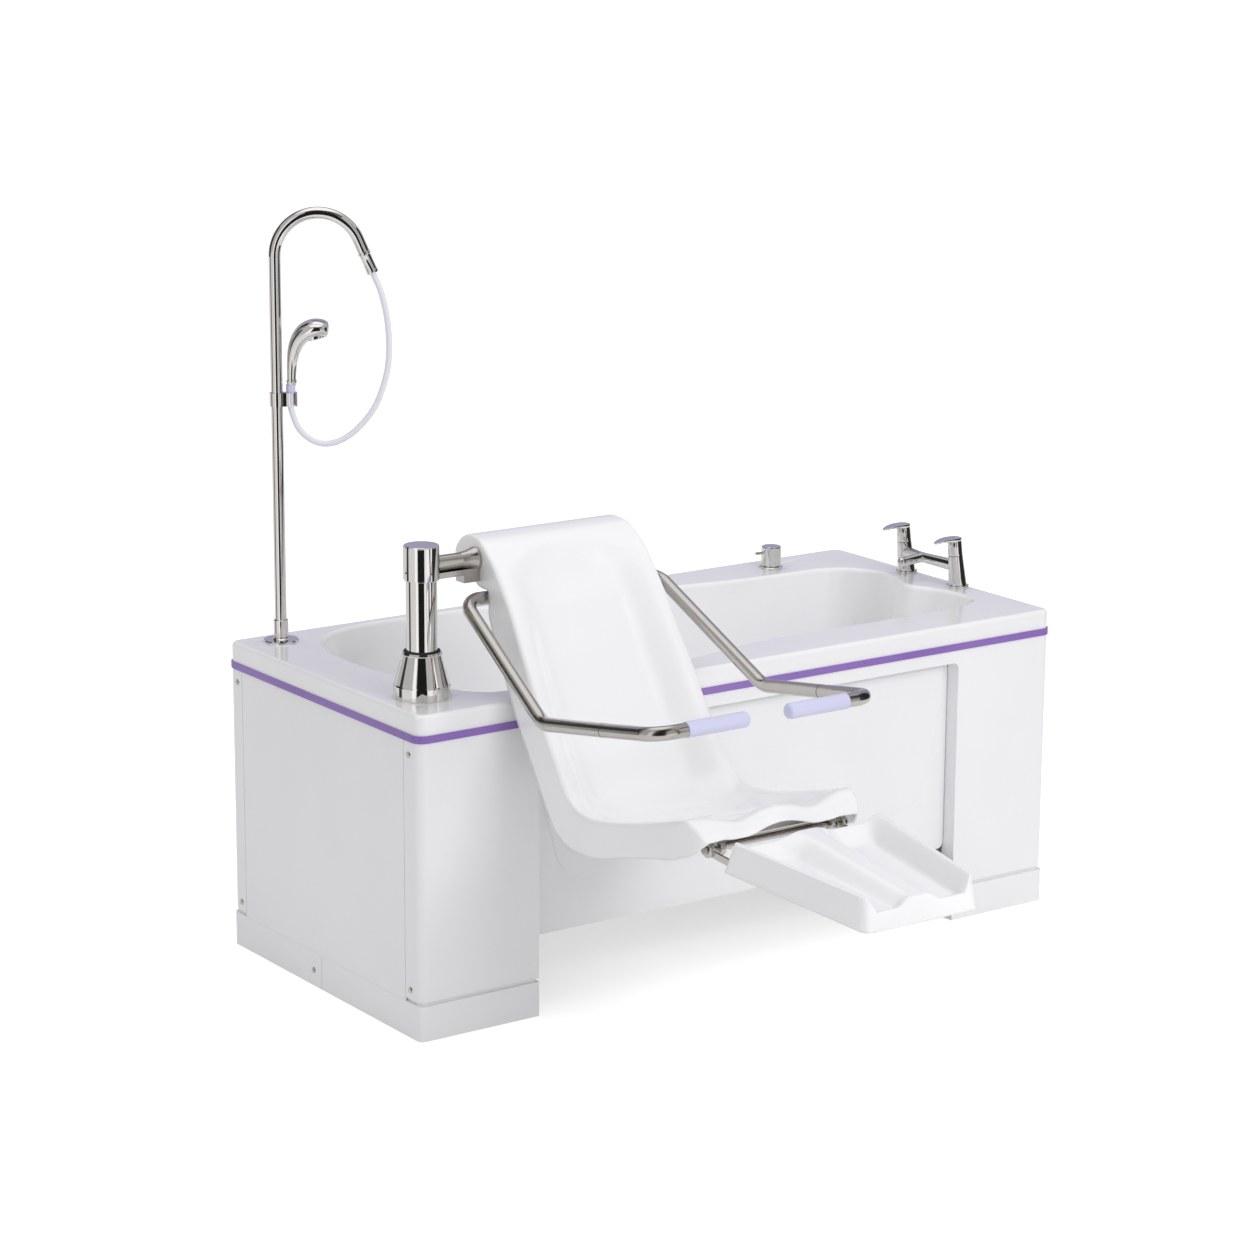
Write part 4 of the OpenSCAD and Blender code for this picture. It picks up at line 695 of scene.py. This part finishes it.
def round_rect(length, width, r):
    """A plan outline with rounded corners, anticlockwise."""
    out = []
    for sx, sy, turn in ((1, 1, 0), (-1, 1, 90), (-1, -1, 180), (1, -1, 270)):
        for j in range(CORNER_STEPS + 1):
            a = math.radians(turn + j * 90 / CORNER_STEPS)
            out.append((sx * (length / 2 - r) + r * math.cos(a), sy * (width / 2 - r) + r * math.sin(a)))
    return out


def circle(centre, r):
    """A plan circle, anticlockwise."""
    turns = (math.tau * i / CIRCLE_STEPS for i in range(CIRCLE_STEPS))
    return [(centre[0] + r * math.cos(a), centre[1] + r * math.sin(a)) for a in turns]


class Sheet:
    """A surface built from closed rings of points."""

    def __init__(self):
        self.bm = bmesh.new()

    def ring(self, points, z):
        """Plan points at a height, as vertices."""
        return [self.bm.verts.new((p[0] * MM, p[1] * MM, z * MM)) for p in points]

    def bridge(self, a, b):
        """Faces between two rings of as many points."""
        n = len(a)
        for i in range(n):
            self.bm.faces.new((a[i], a[(i + 1) % n], b[(i + 1) % n], b[i]))

    def fill(self, *loops):
        """A flat face with the first loop as its edge and the others as holes."""
        edges = []
        for loop in loops:
            for i, v in enumerate(loop):
                w = loop[(i + 1) % len(loop)]
                edges.append(self.bm.edges.get((v, w)) or self.bm.edges.new((v, w)))
        bmesh.ops.triangle_fill(self.bm, use_beauty=True, edges=edges)

    def piece(self, name, body, slot, *nodes):
        """The sheet as a piece, turned so that its largest level face looks up."""
        bmesh.ops.recalc_face_normals(self.bm, faces=self.bm.faces)
        level = [face for face in self.bm.faces if abs(face.normal.z) > LEVEL_ENOUGH]
        flat = max(level, key=lambda face: face.calc_area())
        if flat.normal.z < 0:
            bmesh.ops.reverse_faces(self.bm, faces=self.bm.faces)
        mesh = bpy.data.meshes.new(name)
        self.bm.to_mesh(mesh)
        self.bm.free()
        return add_piece(name, mesh, body, slot, nodes, SHEET_ANGLE)


def keep_flats(obj):
    """Normals weighted by area, so that flat faces shade flat beside their rounded edges."""
    flat = obj.modifiers.new("flat", "WEIGHTED_NORMAL")
    flat.keep_sharp = True
    flat.weight = 100


def quarter(step):
    """The turn at one step of a quarter round."""
    return math.radians(step * 90 / ROLL_STEPS)


def tub_moulding():
    """The walled tub: outer face, rolled edge, rim with its holes, rolled lip and basin."""
    sheet = Sheet()
    last = sheet.ring(round_rect(BATH_L, BATH_W, CORNER_R), BAND_TOP)
    for step in range(ROLL_STEPS + 1):
        a = quarter(step)
        inset = EDGE_R * (1 - math.cos(a))
        outline = round_rect(BATH_L - 2 * inset, BATH_W - 2 * inset, CORNER_R - inset * CORNER_TUCK)
        ring = sheet.ring(outline, RIM_Z - EDGE_R + EDGE_R * math.sin(a))
        sheet.bridge(last, ring)
        last = ring
    rim = last
    loops = [sheet.ring(circle(*hole), RIM_Z) for hole in HOLES]
    edge = closed_line(BASIN_EDGE, BASIN_EDGE_STEPS)
    last = sheet.ring(outward(edge, LIP_OUT), RIM_Z)
    sheet.fill(rim, last, *loops)
    for step in range(1, ROLL_STEPS + 1):
        a = quarter(step)
        ring = sheet.ring(outward(edge, LIP_OUT * (1 - math.sin(a))), RIM_Z - LIP_ROLL * (1 - math.cos(a)))
        sheet.bridge(last, ring)
        last = ring
    rows = list(reversed(BASIN_STEPS))
    for k in range(1, ROWS_PER_STEP * (len(rows) - 1) + 1):
        level, share = on_line(rows, k / ROWS_PER_STEP)
        ring = sheet.ring(basin_ring(edge, max(0, share)), RIM_Z - BASIN_DEEP * (1 - level))
        sheet.bridge(last, ring)
        last = ring
    sheet.fill(last, sheet.ring(circle(WASTE_AT, WASTE_R), RIM_Z - BASIN_DEEP))
    tub = sheet.piece("tub_moulding", "bath", "shell_white", "tub")
    thicken(tub, SHELL_WALL)
    keep_flats(tub)


tub_moulding()


# Shower: a plane through the riser's axis, turned towards the near side; heights are above the rim
NECK_TURN = math.radians(30)
NECK_R = 90.0
NECK_ARC = math.radians(157)
RISER_STRAIGHT = 819.0
SLEEVE_L = 45.0
CONNECTOR_END = 32.0 + SLEEVE_L
CUP_OFF = 29.0
HOLDER_Z = 505.0
NUT_Z = 534.0
HAND_Z = 550.0
HOSE_D = 13.0
HOSE_SIDES = 24
HOSE_STEPS = 8


def plane(h, z, s=0.0):
    """A point at a distance from the riser, a height over the rim and an offset from the shower's plane."""
    c, t = math.cos(NECK_TURN), math.sin(NECK_TURN)
    return RISER_AT[0] + h * c + s * t, RISER_AT[1] - h * t + s * c, RIM_Z + z


NECK_DIR = (math.sin(NECK_ARC), math.cos(NECK_ARC))
HOSE_START = (NECK_R - NECK_R * math.cos(NECK_ARC) + NECK_DIR[0] * CONNECTOR_END,
              RISER_STRAIGHT + NECK_R * math.sin(NECK_ARC) + NECK_DIR[1] * CONNECTOR_END)
HOSE_ROUTE = [HOSE_START, (HOSE_START[0] + NECK_DIR[0] * 14, HOSE_START[1] - 13), (219, 744), (231, 690),
              (235, 628), (229, 570), (207, 507), (174, 462), (138, 434), (104, 424), (73, 431), (46, 455),
              (32, 488), (CUP_OFF, HOLDER_Z), (CUP_OFF, NUT_Z)]


def hose_rings(points):
    """Rings in millimetres round metre points, each turned as little as possible from the last."""
    rings = []
    across = Vector((0, 0, 1))
    for i, at in enumerate(points):
        along = (Vector(points[min(i + 1, len(points) - 1)]) - Vector(points[max(i - 1, 0)])).normalized()
        across = (across - along * across.dot(along)).normalized()
        other = along.cross(across)
        ring = []
        for k in range(HOSE_SIDES):
            a = math.tau * k / HOSE_SIDES
            spot = Vector(at) + (across * math.cos(a) + other * math.sin(a)) * (HOSE_D / 2 * MM)
            ring.append(tuple(c / MM for c in spot))
        rings.append(ring)
    return rings


def shower_hose():
    """The clear hose, a tube from the riser's connector down and back up to the handset's nut."""
    count = (len(HOSE_ROUTE) - 1) * HOSE_STEPS + 1
    points = [tuple(c * MM for c in plane(*on_line(HOSE_ROUTE, k / HOSE_STEPS))) for k in range(count)]
    tube = Solid()
    tube.loft(hose_rings(points))
    hose = tube.make("shower_hose", None, "hose_clear", "hose")
    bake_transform(hose)


shower_hose()

# Handset: rows of distance from the riser, height over the nut, half depth, half width, turn in degrees
HAND_ROWS = [
    (31, 0, 9.5, 9.5, 0), (31, 5, 11, 11, 0), (31, 9, 11, 11, 0), (31, 11, 9.6, 9.6, 0),
    (31.5, 28, 10.2, 10.8, 3), (33, 50, 11.5, 13, 9), (37, 72, 14, 17, 22), (46, 94, 17, 24, 38),
    (60, 110, 19.5, 31, 58), (78, 118, 20, 35, 76), (94, 119, 18.5, 34, 88), (103, 117, 17, 30, 94),
    (107.5, 115, 14, 24, 97), (109.5, 114, 6, 12, 98)]
HAND_SIDES = 36
HAND_STEPS = 4

# Spray face: place in the shower's plane, lean, and profiles of radius and height along its axis
SPRAY_AT = (82, 100.5)
SPRAY_TURN = math.radians(13)
SPRAY_R = 25.0
SPRAY_SIDES = 48
SPRAY_RING = [(SPRAY_R + 1, -6), (SPRAY_R + 1.5, 1), (SPRAY_R, 3), (SPRAY_R - 2.5, 2.6), (SPRAY_R - 3, 1.4)]
SPRAY_PLATE = [(SPRAY_R - 3, 1.2), (SPRAY_R - 3.4, 2.2), (12, 2.9), (11, 2.4), (2, 2.6)]
NOZZLE = [(0.95, 2.0), (0.85, 3.6), (0.5, 4.0)]
NOZZLE_SIDES = 8
NOZZLE_RINGS = ((5, 6), (9, 10), (14.5, 16), (19, 22))


def handset():
    """A curved chrome body swelling into a blunt head, with a groove round its neck."""
    body = Solid()
    count = (len(HAND_ROWS) - 1) * HAND_STEPS
    rings = []
    for k in range(count + 1):
        h, z, deep, half, turn = on_line(HAND_ROWS, k / HAND_STEPS)
        c, t = math.cos(math.radians(turn)), math.sin(math.radians(turn))
        ring = []
        for j in range(HAND_SIDES):
            a = math.tau * j / HAND_SIDES
            d = deep * math.cos(a)
            ring.append(plane(h + d * c, HAND_Z + z - d * t, half * math.sin(a)))
        rings.append(ring)
    body.loft(rings)
    body.make("handset_body", "shower", "chrome", "handset")


def spray_plate():
    """The spray face: a pale plate with rings of nozzles, in a bright ring."""
    h, z = SPRAY_AT
    at = Vector(plane(h, HAND_Z + z))
    tip = Vector(plane(h + math.sin(SPRAY_TURN), HAND_Z + z - math.cos(SPRAY_TURN)))
    axis = (tip - at).normalized()
    ring = Solid()
    ring.turned(at, axis, SPRAY_RING, SPRAY_SIDES)
    ring.make("spray_ring", "shower", "chrome")
    plate = Solid()
    plate.turned(at, axis, SPRAY_PLATE, SPRAY_SIDES)
    for r, count in NOZZLE_RINGS:
        for spot in round_about(at, axis, r, count):
            plate.turned(spot, axis, NOZZLE, NOZZLE_SIDES)
    plate.make("spray_plate", "shower", "panel_white", "spray_face")


handset()
spray_plate()

# Lever blade in its pillar's leaning frame: reach, half width, top, underside
BLADE_ROWS = [(16, 6, 113.5, 104), (13, 10.5, 115, 104), (6, 14.6, 116.6, 104), (-4, 16.2, 117.9, 104),
              (-18, 15.8, 119.2, 108), (-30, 14.4, 119.4, 111.8), (-42, 12, 118.6, 112.6),
              (-51, 8.6, 117.6, 112.6), (-57, 4.8, 116.8, 113), (-60, 1.2, 116, 114.6)]
BLADE_STEPS = 4
BLADE_SIDES = 28

# Blade's section: where its edge lies between top and underside, and how full its sides and top are
BLADE_EDGE = 0.3
BLADE_SIDE = 0.72
BLADE_TOP = 0.4
PILLAR_LEAN = math.radians(7)
BARREL = [(15.4, 74.5), (16.4, 75.2), (16.5, 76.4), (16.3, 92), (15.8, 106), (13, 111), (6, 112)]
BARREL_SIDES = 48


def lever(name, body, node, side):
    """A tap lever: a barrel over its pillar under a thin blade, teardrop in plan."""
    c, s = math.cos(PILLAR_LEAN), math.sin(PILLAR_LEAN)

    def at(x, y, z):
        return FILLER_X + x * c - z * s, side * PILLAR_Y + y, RIM_Z + x * s + z * c

    piece = Solid()
    piece.turned(at(0, 0, 0), Vector((-s, 0, c)), BARREL, BARREL_SIDES)
    rings = []
    for k in range((len(BLADE_ROWS) - 1) * BLADE_STEPS + 1):
        x, half, top, low = on_line(BLADE_ROWS, k / BLADE_STEPS)
        edge = mix(top, low, BLADE_EDGE)
        ring = []
        for j in range(BLADE_SIDES):
            a = math.tau * j / BLADE_SIDES
            up = math.sin(a)
            y = -half * math.copysign(abs(math.cos(a)) ** BLADE_SIDE, math.cos(a))
            rise = (top - edge) * up ** BLADE_TOP if up > 0 else (edge - low) * up
            ring.append(at(x, y, edge + rise))
        rings.append(ring)
    piece.loft(rings)
    piece.make(name, body, "chrome", node)


lever("lever_blade_hot", "tap_hot", "lever_hot", 1)
lever("lever_blade_cold", "tap_cold", "lever_cold", -1)

# Small turned parts, as profiles of radius and distance along their axis
PART_SIDES = 40
SEAL_PROFILE = [(32.2, 0.1), (36.6, 0.1), (36.8, 1.2), (35.6, 2.6), (33.4, 3.2), (32.2, 3.0), (32.2, 0.1)]
SEAL_SIDES = 64
FLARE_PROFILE = [(16.6, 0), (17.2, 4), (18.4, 14), (20.8, 25), (23.2, 31), (24, 34), (24, 36), (16.6, 36)]
FLARE_SIDES = 48
FLARE_X = SEAT_X - 223
ARM_OVER_BRACKET = 16.5
DISC_EDGE = [(4, -0.6), (13.5, -0.6), (15.2, 0.4), (15.6, 2.4), (15.6, 9), (15, 11), (13, 12.4)]
DISC_FACE = [(4, 12.8)]
BOLT_HEAD = [(8.6, 12.6), (8.2, 11.6), (7.4, 11.6), (7.2, 14), (6.4, 15), (3.6, 15.2), (3.4, 13), (0.5, 13)]
HINGE_AT = (-1003.0, 521.0)
SEAT_KNUCKLE = 126.0
TRAY_KNUCKLE = 151.0
SLEEVE_PROFILE = [(9, -3), (12.6, -2.4), (13.3, -1), (13.3, 2.4), (12.4, 3.6), (11.9, 4.4), (11.9, 38),
                  (12.5, 39.4), (12.5, 43.4), (11.6, SLEEVE_L), (6.8, SLEEVE_L), (6.6, 42)]
PARTING_PROFILE = [(13, -0.9), (14.15, -0.8), (14.15, 0.8), (13, 0.9)]


def top_of(name):
    """The height of a CAD node's top in millimetres."""
    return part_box(name)[1][2] / MM


def column_seal():
    """The black wiper ring between the lifting tube and its bell."""
    seal = Solid()
    seal.turned((*COLUMN_AT, top_of("bell_collar")), (0, 0, 1), SEAL_PROFILE, SEAL_SIDES, caps=False)
    seal.make("column_seal", "bath", "dark_rubber")


def arm_flare():
    """The swollen socket where the arm enters the seat."""
    z = top_of("arm_bracket") + ARM_OVER_BRACKET
    flare = Solid()
    flare.turned((FLARE_X, COLUMN_AT[1], z), (1, 0, 0), FLARE_PROFILE, FLARE_SIDES, caps=False)
    flare.make("arm_flare", "seat", "stainless")


def hinge_discs():
    """Round knuckle discs on the footrest's rod: the seat's inside, the tray's outside with a bolt head."""
    inner = Solid()
    outer = Solid()
    for way in (-1, 1):
        axis = (way, 0, 0)
        inner.turned((SEAT_X + way * SEAT_KNUCKLE, *HINGE_AT), axis, DISC_EDGE + DISC_FACE, PART_SIDES)
        outer.turned((SEAT_X + way * TRAY_KNUCKLE, *HINGE_AT), axis, DISC_EDGE + BOLT_HEAD, PART_SIDES)
    inner.make("hinge_discs_seat", "seat", "stainless")
    outer.make("hinge_discs_tray", "tray", "stainless")


def connector_sleeve():
    """The hose connector: a sleeve with a raised collar at the riser and a bead at the hose."""
    sleeve = Solid()
    start = Vector(plane(HOSE_START[0] - NECK_DIR[0] * SLEEVE_L, HOSE_START[1] - NECK_DIR[1] * SLEEVE_L))
    sleeve.turned(start, Vector(plane(*HOSE_START)) - start, SLEEVE_PROFILE, PART_SIDES)
    sleeve.make("connector_sleeve", "bath", "chrome", "hose_connector")


def joint_rings():
    """The dark parting line round each armrest where its swivelling end begins."""
    for joint in frame["joints"]:
        if joint["name"].startswith("grip_"):
            ring = Solid()
            ring.turned([c / MM for c in joint["pos_m"]], joint["axis"], PARTING_PROFILE, PART_SIDES)
            ring.make(joint["name"].replace("swivel", "ring"), joint["child"], "dark_plastic")


column_seal()
arm_flare()
hinge_discs()
connector_sleeve()
joint_rings()

# Moulded edges: how far each panel's sharp edges are rounded, in millimetres
EDGES = {"surround_near": 2.2, "surround_far": 2.2, "recess_panel_near": 1.2, "recess_panel_far": 1.2,
         "end_panel_head": 1.2, "end_panel_foot": 1.2, "plinth_head_near": 2.0, "plinth_head_far": 2.0,
         "plinth_foot_near": 2.0, "plinth_foot_far": 2.0, "trim_band": 0.9}
EDGE_SEGMENTS = 3
EDGE_SHARP = math.radians(50)


def round_edges():
    """Rounds the edges of the bath's mouldings, which stay CAD nodes."""
    for name, size in EDGES.items():
        panel = frame["nodes"][name]
        bevel = panel.modifiers.new("edge", "BEVEL")
        bevel.width = size * MM
        bevel.segments = EDGE_SEGMENTS
        bevel.limit_method = "ANGLE"
        bevel.angle_limit = EDGE_SHARP
        bevel.harden_normals = True


round_edges()

# Stage: a pale floor that keeps the shadow, white surroundings, mirrored cards and two soft lamps
FLOOR_HALF = 30.0
FLOOR_COLOUR = (0.86, 0.86, 0.86, 1)
FLOOR_GLOW = 0.56
FLOOR_MIRRORED = 0.25
AMBIENT = 0.68
MIRROR_SKY = 0.54
BACKDROP = 1.0

# Soft lamps: place, aim, size in metres, watts, and whether mirrors see them
LAMPS = [
    ("key", (0.8, -4.9, 3.3), (0, -0.3, 0.5), (3.0, 2.0), 84, False),
    ("top", (-0.4, 0.3, 4.2), (-0.2, 0, 0.5), (3.5, 2.5), 18, True),
]


def stage_sheet(name, corners, material):
    """A flat four-cornered sheet, linked into the scene, for the floor and the cards."""
    mesh = bpy.data.meshes.new(name)
    mesh.from_pydata(corners, [], [(0, 1, 2, 3)])
    mesh.materials.append(material)
    sheet = new_object(name, mesh)
    return sheet


def stage_floor():
    """The floor, which glows a little for the camera and less in mirrors."""
    n = Nodes("stage_floor")
    n.set(Roughness=0.9, Base_Color=FLOOR_COLOUR, Specular_IOR_Level=0.1, Emission_Color=(1, 1, 1, 1))
    path = n.add("ShaderNodeLightPath")
    seen = n.add("ShaderNodeMath", operation="MULTIPLY_ADD")
    n.link(path.outputs["Is Glossy Ray"], seen.inputs[0])
    seen.inputs[1].default_value = FLOOR_MIRRORED
    n.link(path.outputs["Is Camera Ray"], seen.inputs[2])
    glow = n.add("ShaderNodeMath", operation="MULTIPLY")
    n.link(seen.outputs[0], glow.inputs[0])
    glow.inputs[1].default_value = FLOOR_GLOW
    n.link(glow.outputs[0], n.shader.inputs["Emission Strength"])
    r = FLOOR_HALF
    stage_sheet("stage_floor", [(-r, -r, 0), (r, -r, 0), (r, r, 0), (-r, r, 0)], n.material)


def stage_world():
    """White to the camera, a little darker in mirror reflections, and an even light on everything."""
    world = bpy.data.worlds.new("studio")
    bpy.context.scene.world = world
    world.use_nodes = True
    tree = world.node_tree
    back = tree.nodes["Background"]
    back.inputs["Color"].default_value = (1, 1, 1, 1)
    path = tree.nodes.new("ShaderNodeLightPath")
    mirrored = tree.nodes.new("ShaderNodeMapRange")
    mirrored.inputs["To Min"].default_value = AMBIENT
    mirrored.inputs["To Max"].default_value = MIRROR_SKY
    tree.links.new(path.outputs["Is Glossy Ray"], mirrored.inputs["Value"])
    level = tree.nodes.new("ShaderNodeMapRange")
    level.inputs["To Max"].default_value = BACKDROP
    tree.links.new(mirrored.outputs["Result"], level.inputs["To Min"])
    tree.links.new(path.outputs["Is Camera Ray"], level.inputs["Value"])
    tree.links.new(level.outputs["Result"], back.inputs["Strength"])


def soft_lamp(name, at, aim, size, power, shines):
    """A rectangular lamp that faces its aim."""
    data = bpy.data.lights.new(name, "AREA")
    data.shape = "RECTANGLE"
    data.size = size[0]
    data.size_y = size[1]
    data.energy = power
    lamp = new_object(name, data)
    lamp.visible_glossy = shines
    lamp.location = at
    lamp.rotation_euler = (Vector(aim) - Vector(at)).to_track_quat("-Z", "Y").to_euler()


# Upright cards that only mirrors see: place on the floor, width, height, shade
CARDS = [
    ("dark_card_near", (-2.00, -2.25), 1.85, 3.2, 0.015),
    ("dark_card_middle", (0.30, -2.60), 0.42, 3.2, 0.02),
    ("dark_card_right", (2.10, -1.40), 3.20, 3.4, 0.03),
    ("white_card_near", (-2.90, -1.26), 0.60, 3.2, 1.15),
    ("white_card_right", (0.90, -3.00), 0.50, 3.2, 1.15),
    ("dark_card_left", (-2.75, 1.30), 0.75, 3.0, 0.05),
]
CARD_AIM = (-0.2, -0.1)

# Leaning cards, by their corners: a lilac one behind the bath, and dark ones above and behind it
DARK = (0.03, 0.03, 0.03)
LILAC = (0.40, 0.38, 0.54)
LEANING_CARDS = [
    ("lilac_card_back", [(0, 9, 0.9), (9, 2.5, 0.9), (9, 2.5, 7.5), (0, 9, 7.5)], LILAC),
    ("dark_card_above", [(-4.2, -3.6, 4.4), (-1.0, -5.0, 4.4), (0.4, -2.8, 4.8), (-2.8, -1.4, 4.8)], DARK),
    ("dark_card_high", [(0.2, 3.4, 3.6), (2.6, 1.7, 3.6), (3.4, 2.9, 5.6), (1.0, 4.6, 5.6)], DARK),
    ("dark_card_behind", [(-2.9, 1.6, 1.2), (-2.0, 2.9, 1.2), (-0.2, 3.0, 4.3), (-1.9, 1.8, 4.3)], DARK),
]


def mirror_card(name, corners, shade):
    """A glowing card of a shade that lights nothing and shows in mirrors alone."""
    n = Nodes(name)
    n.set(Base_Color=(0, 0, 0, 1), Roughness=1.0, Specular_IOR_Level=0.0, Emission_Strength=1.0,
          Emission_Color=(*shade, 1))
    card = stage_sheet(name, corners, n.material)
    card.visible_camera = False
    card.visible_diffuse = False
    card.visible_shadow = False
    card.visible_transmission = False


def stage_cards():
    """Every card; the upright ones stand square to the direction of CARD_AIM."""
    for name, (x, y), width, height, shade in CARDS:
        dx, dy = CARD_AIM[0] - x, CARD_AIM[1] - y
        size = math.hypot(dx, dy)
        ax, ay = -dy / size * width / 2, dx / size * width / 2
        low = [(x - ax, y - ay, 0), (x + ax, y + ay, 0)]
        high = [(x + ax, y + ay, height), (x - ax, y - ay, height)]
        mirror_card(name, low + high, (shade, shade, shade))
    for card in LEANING_CARDS:
        mirror_card(*card)


stage_floor()
stage_world()
stage_cards()
for lamp_row in LAMPS:
    soft_lamp(*lamp_row)
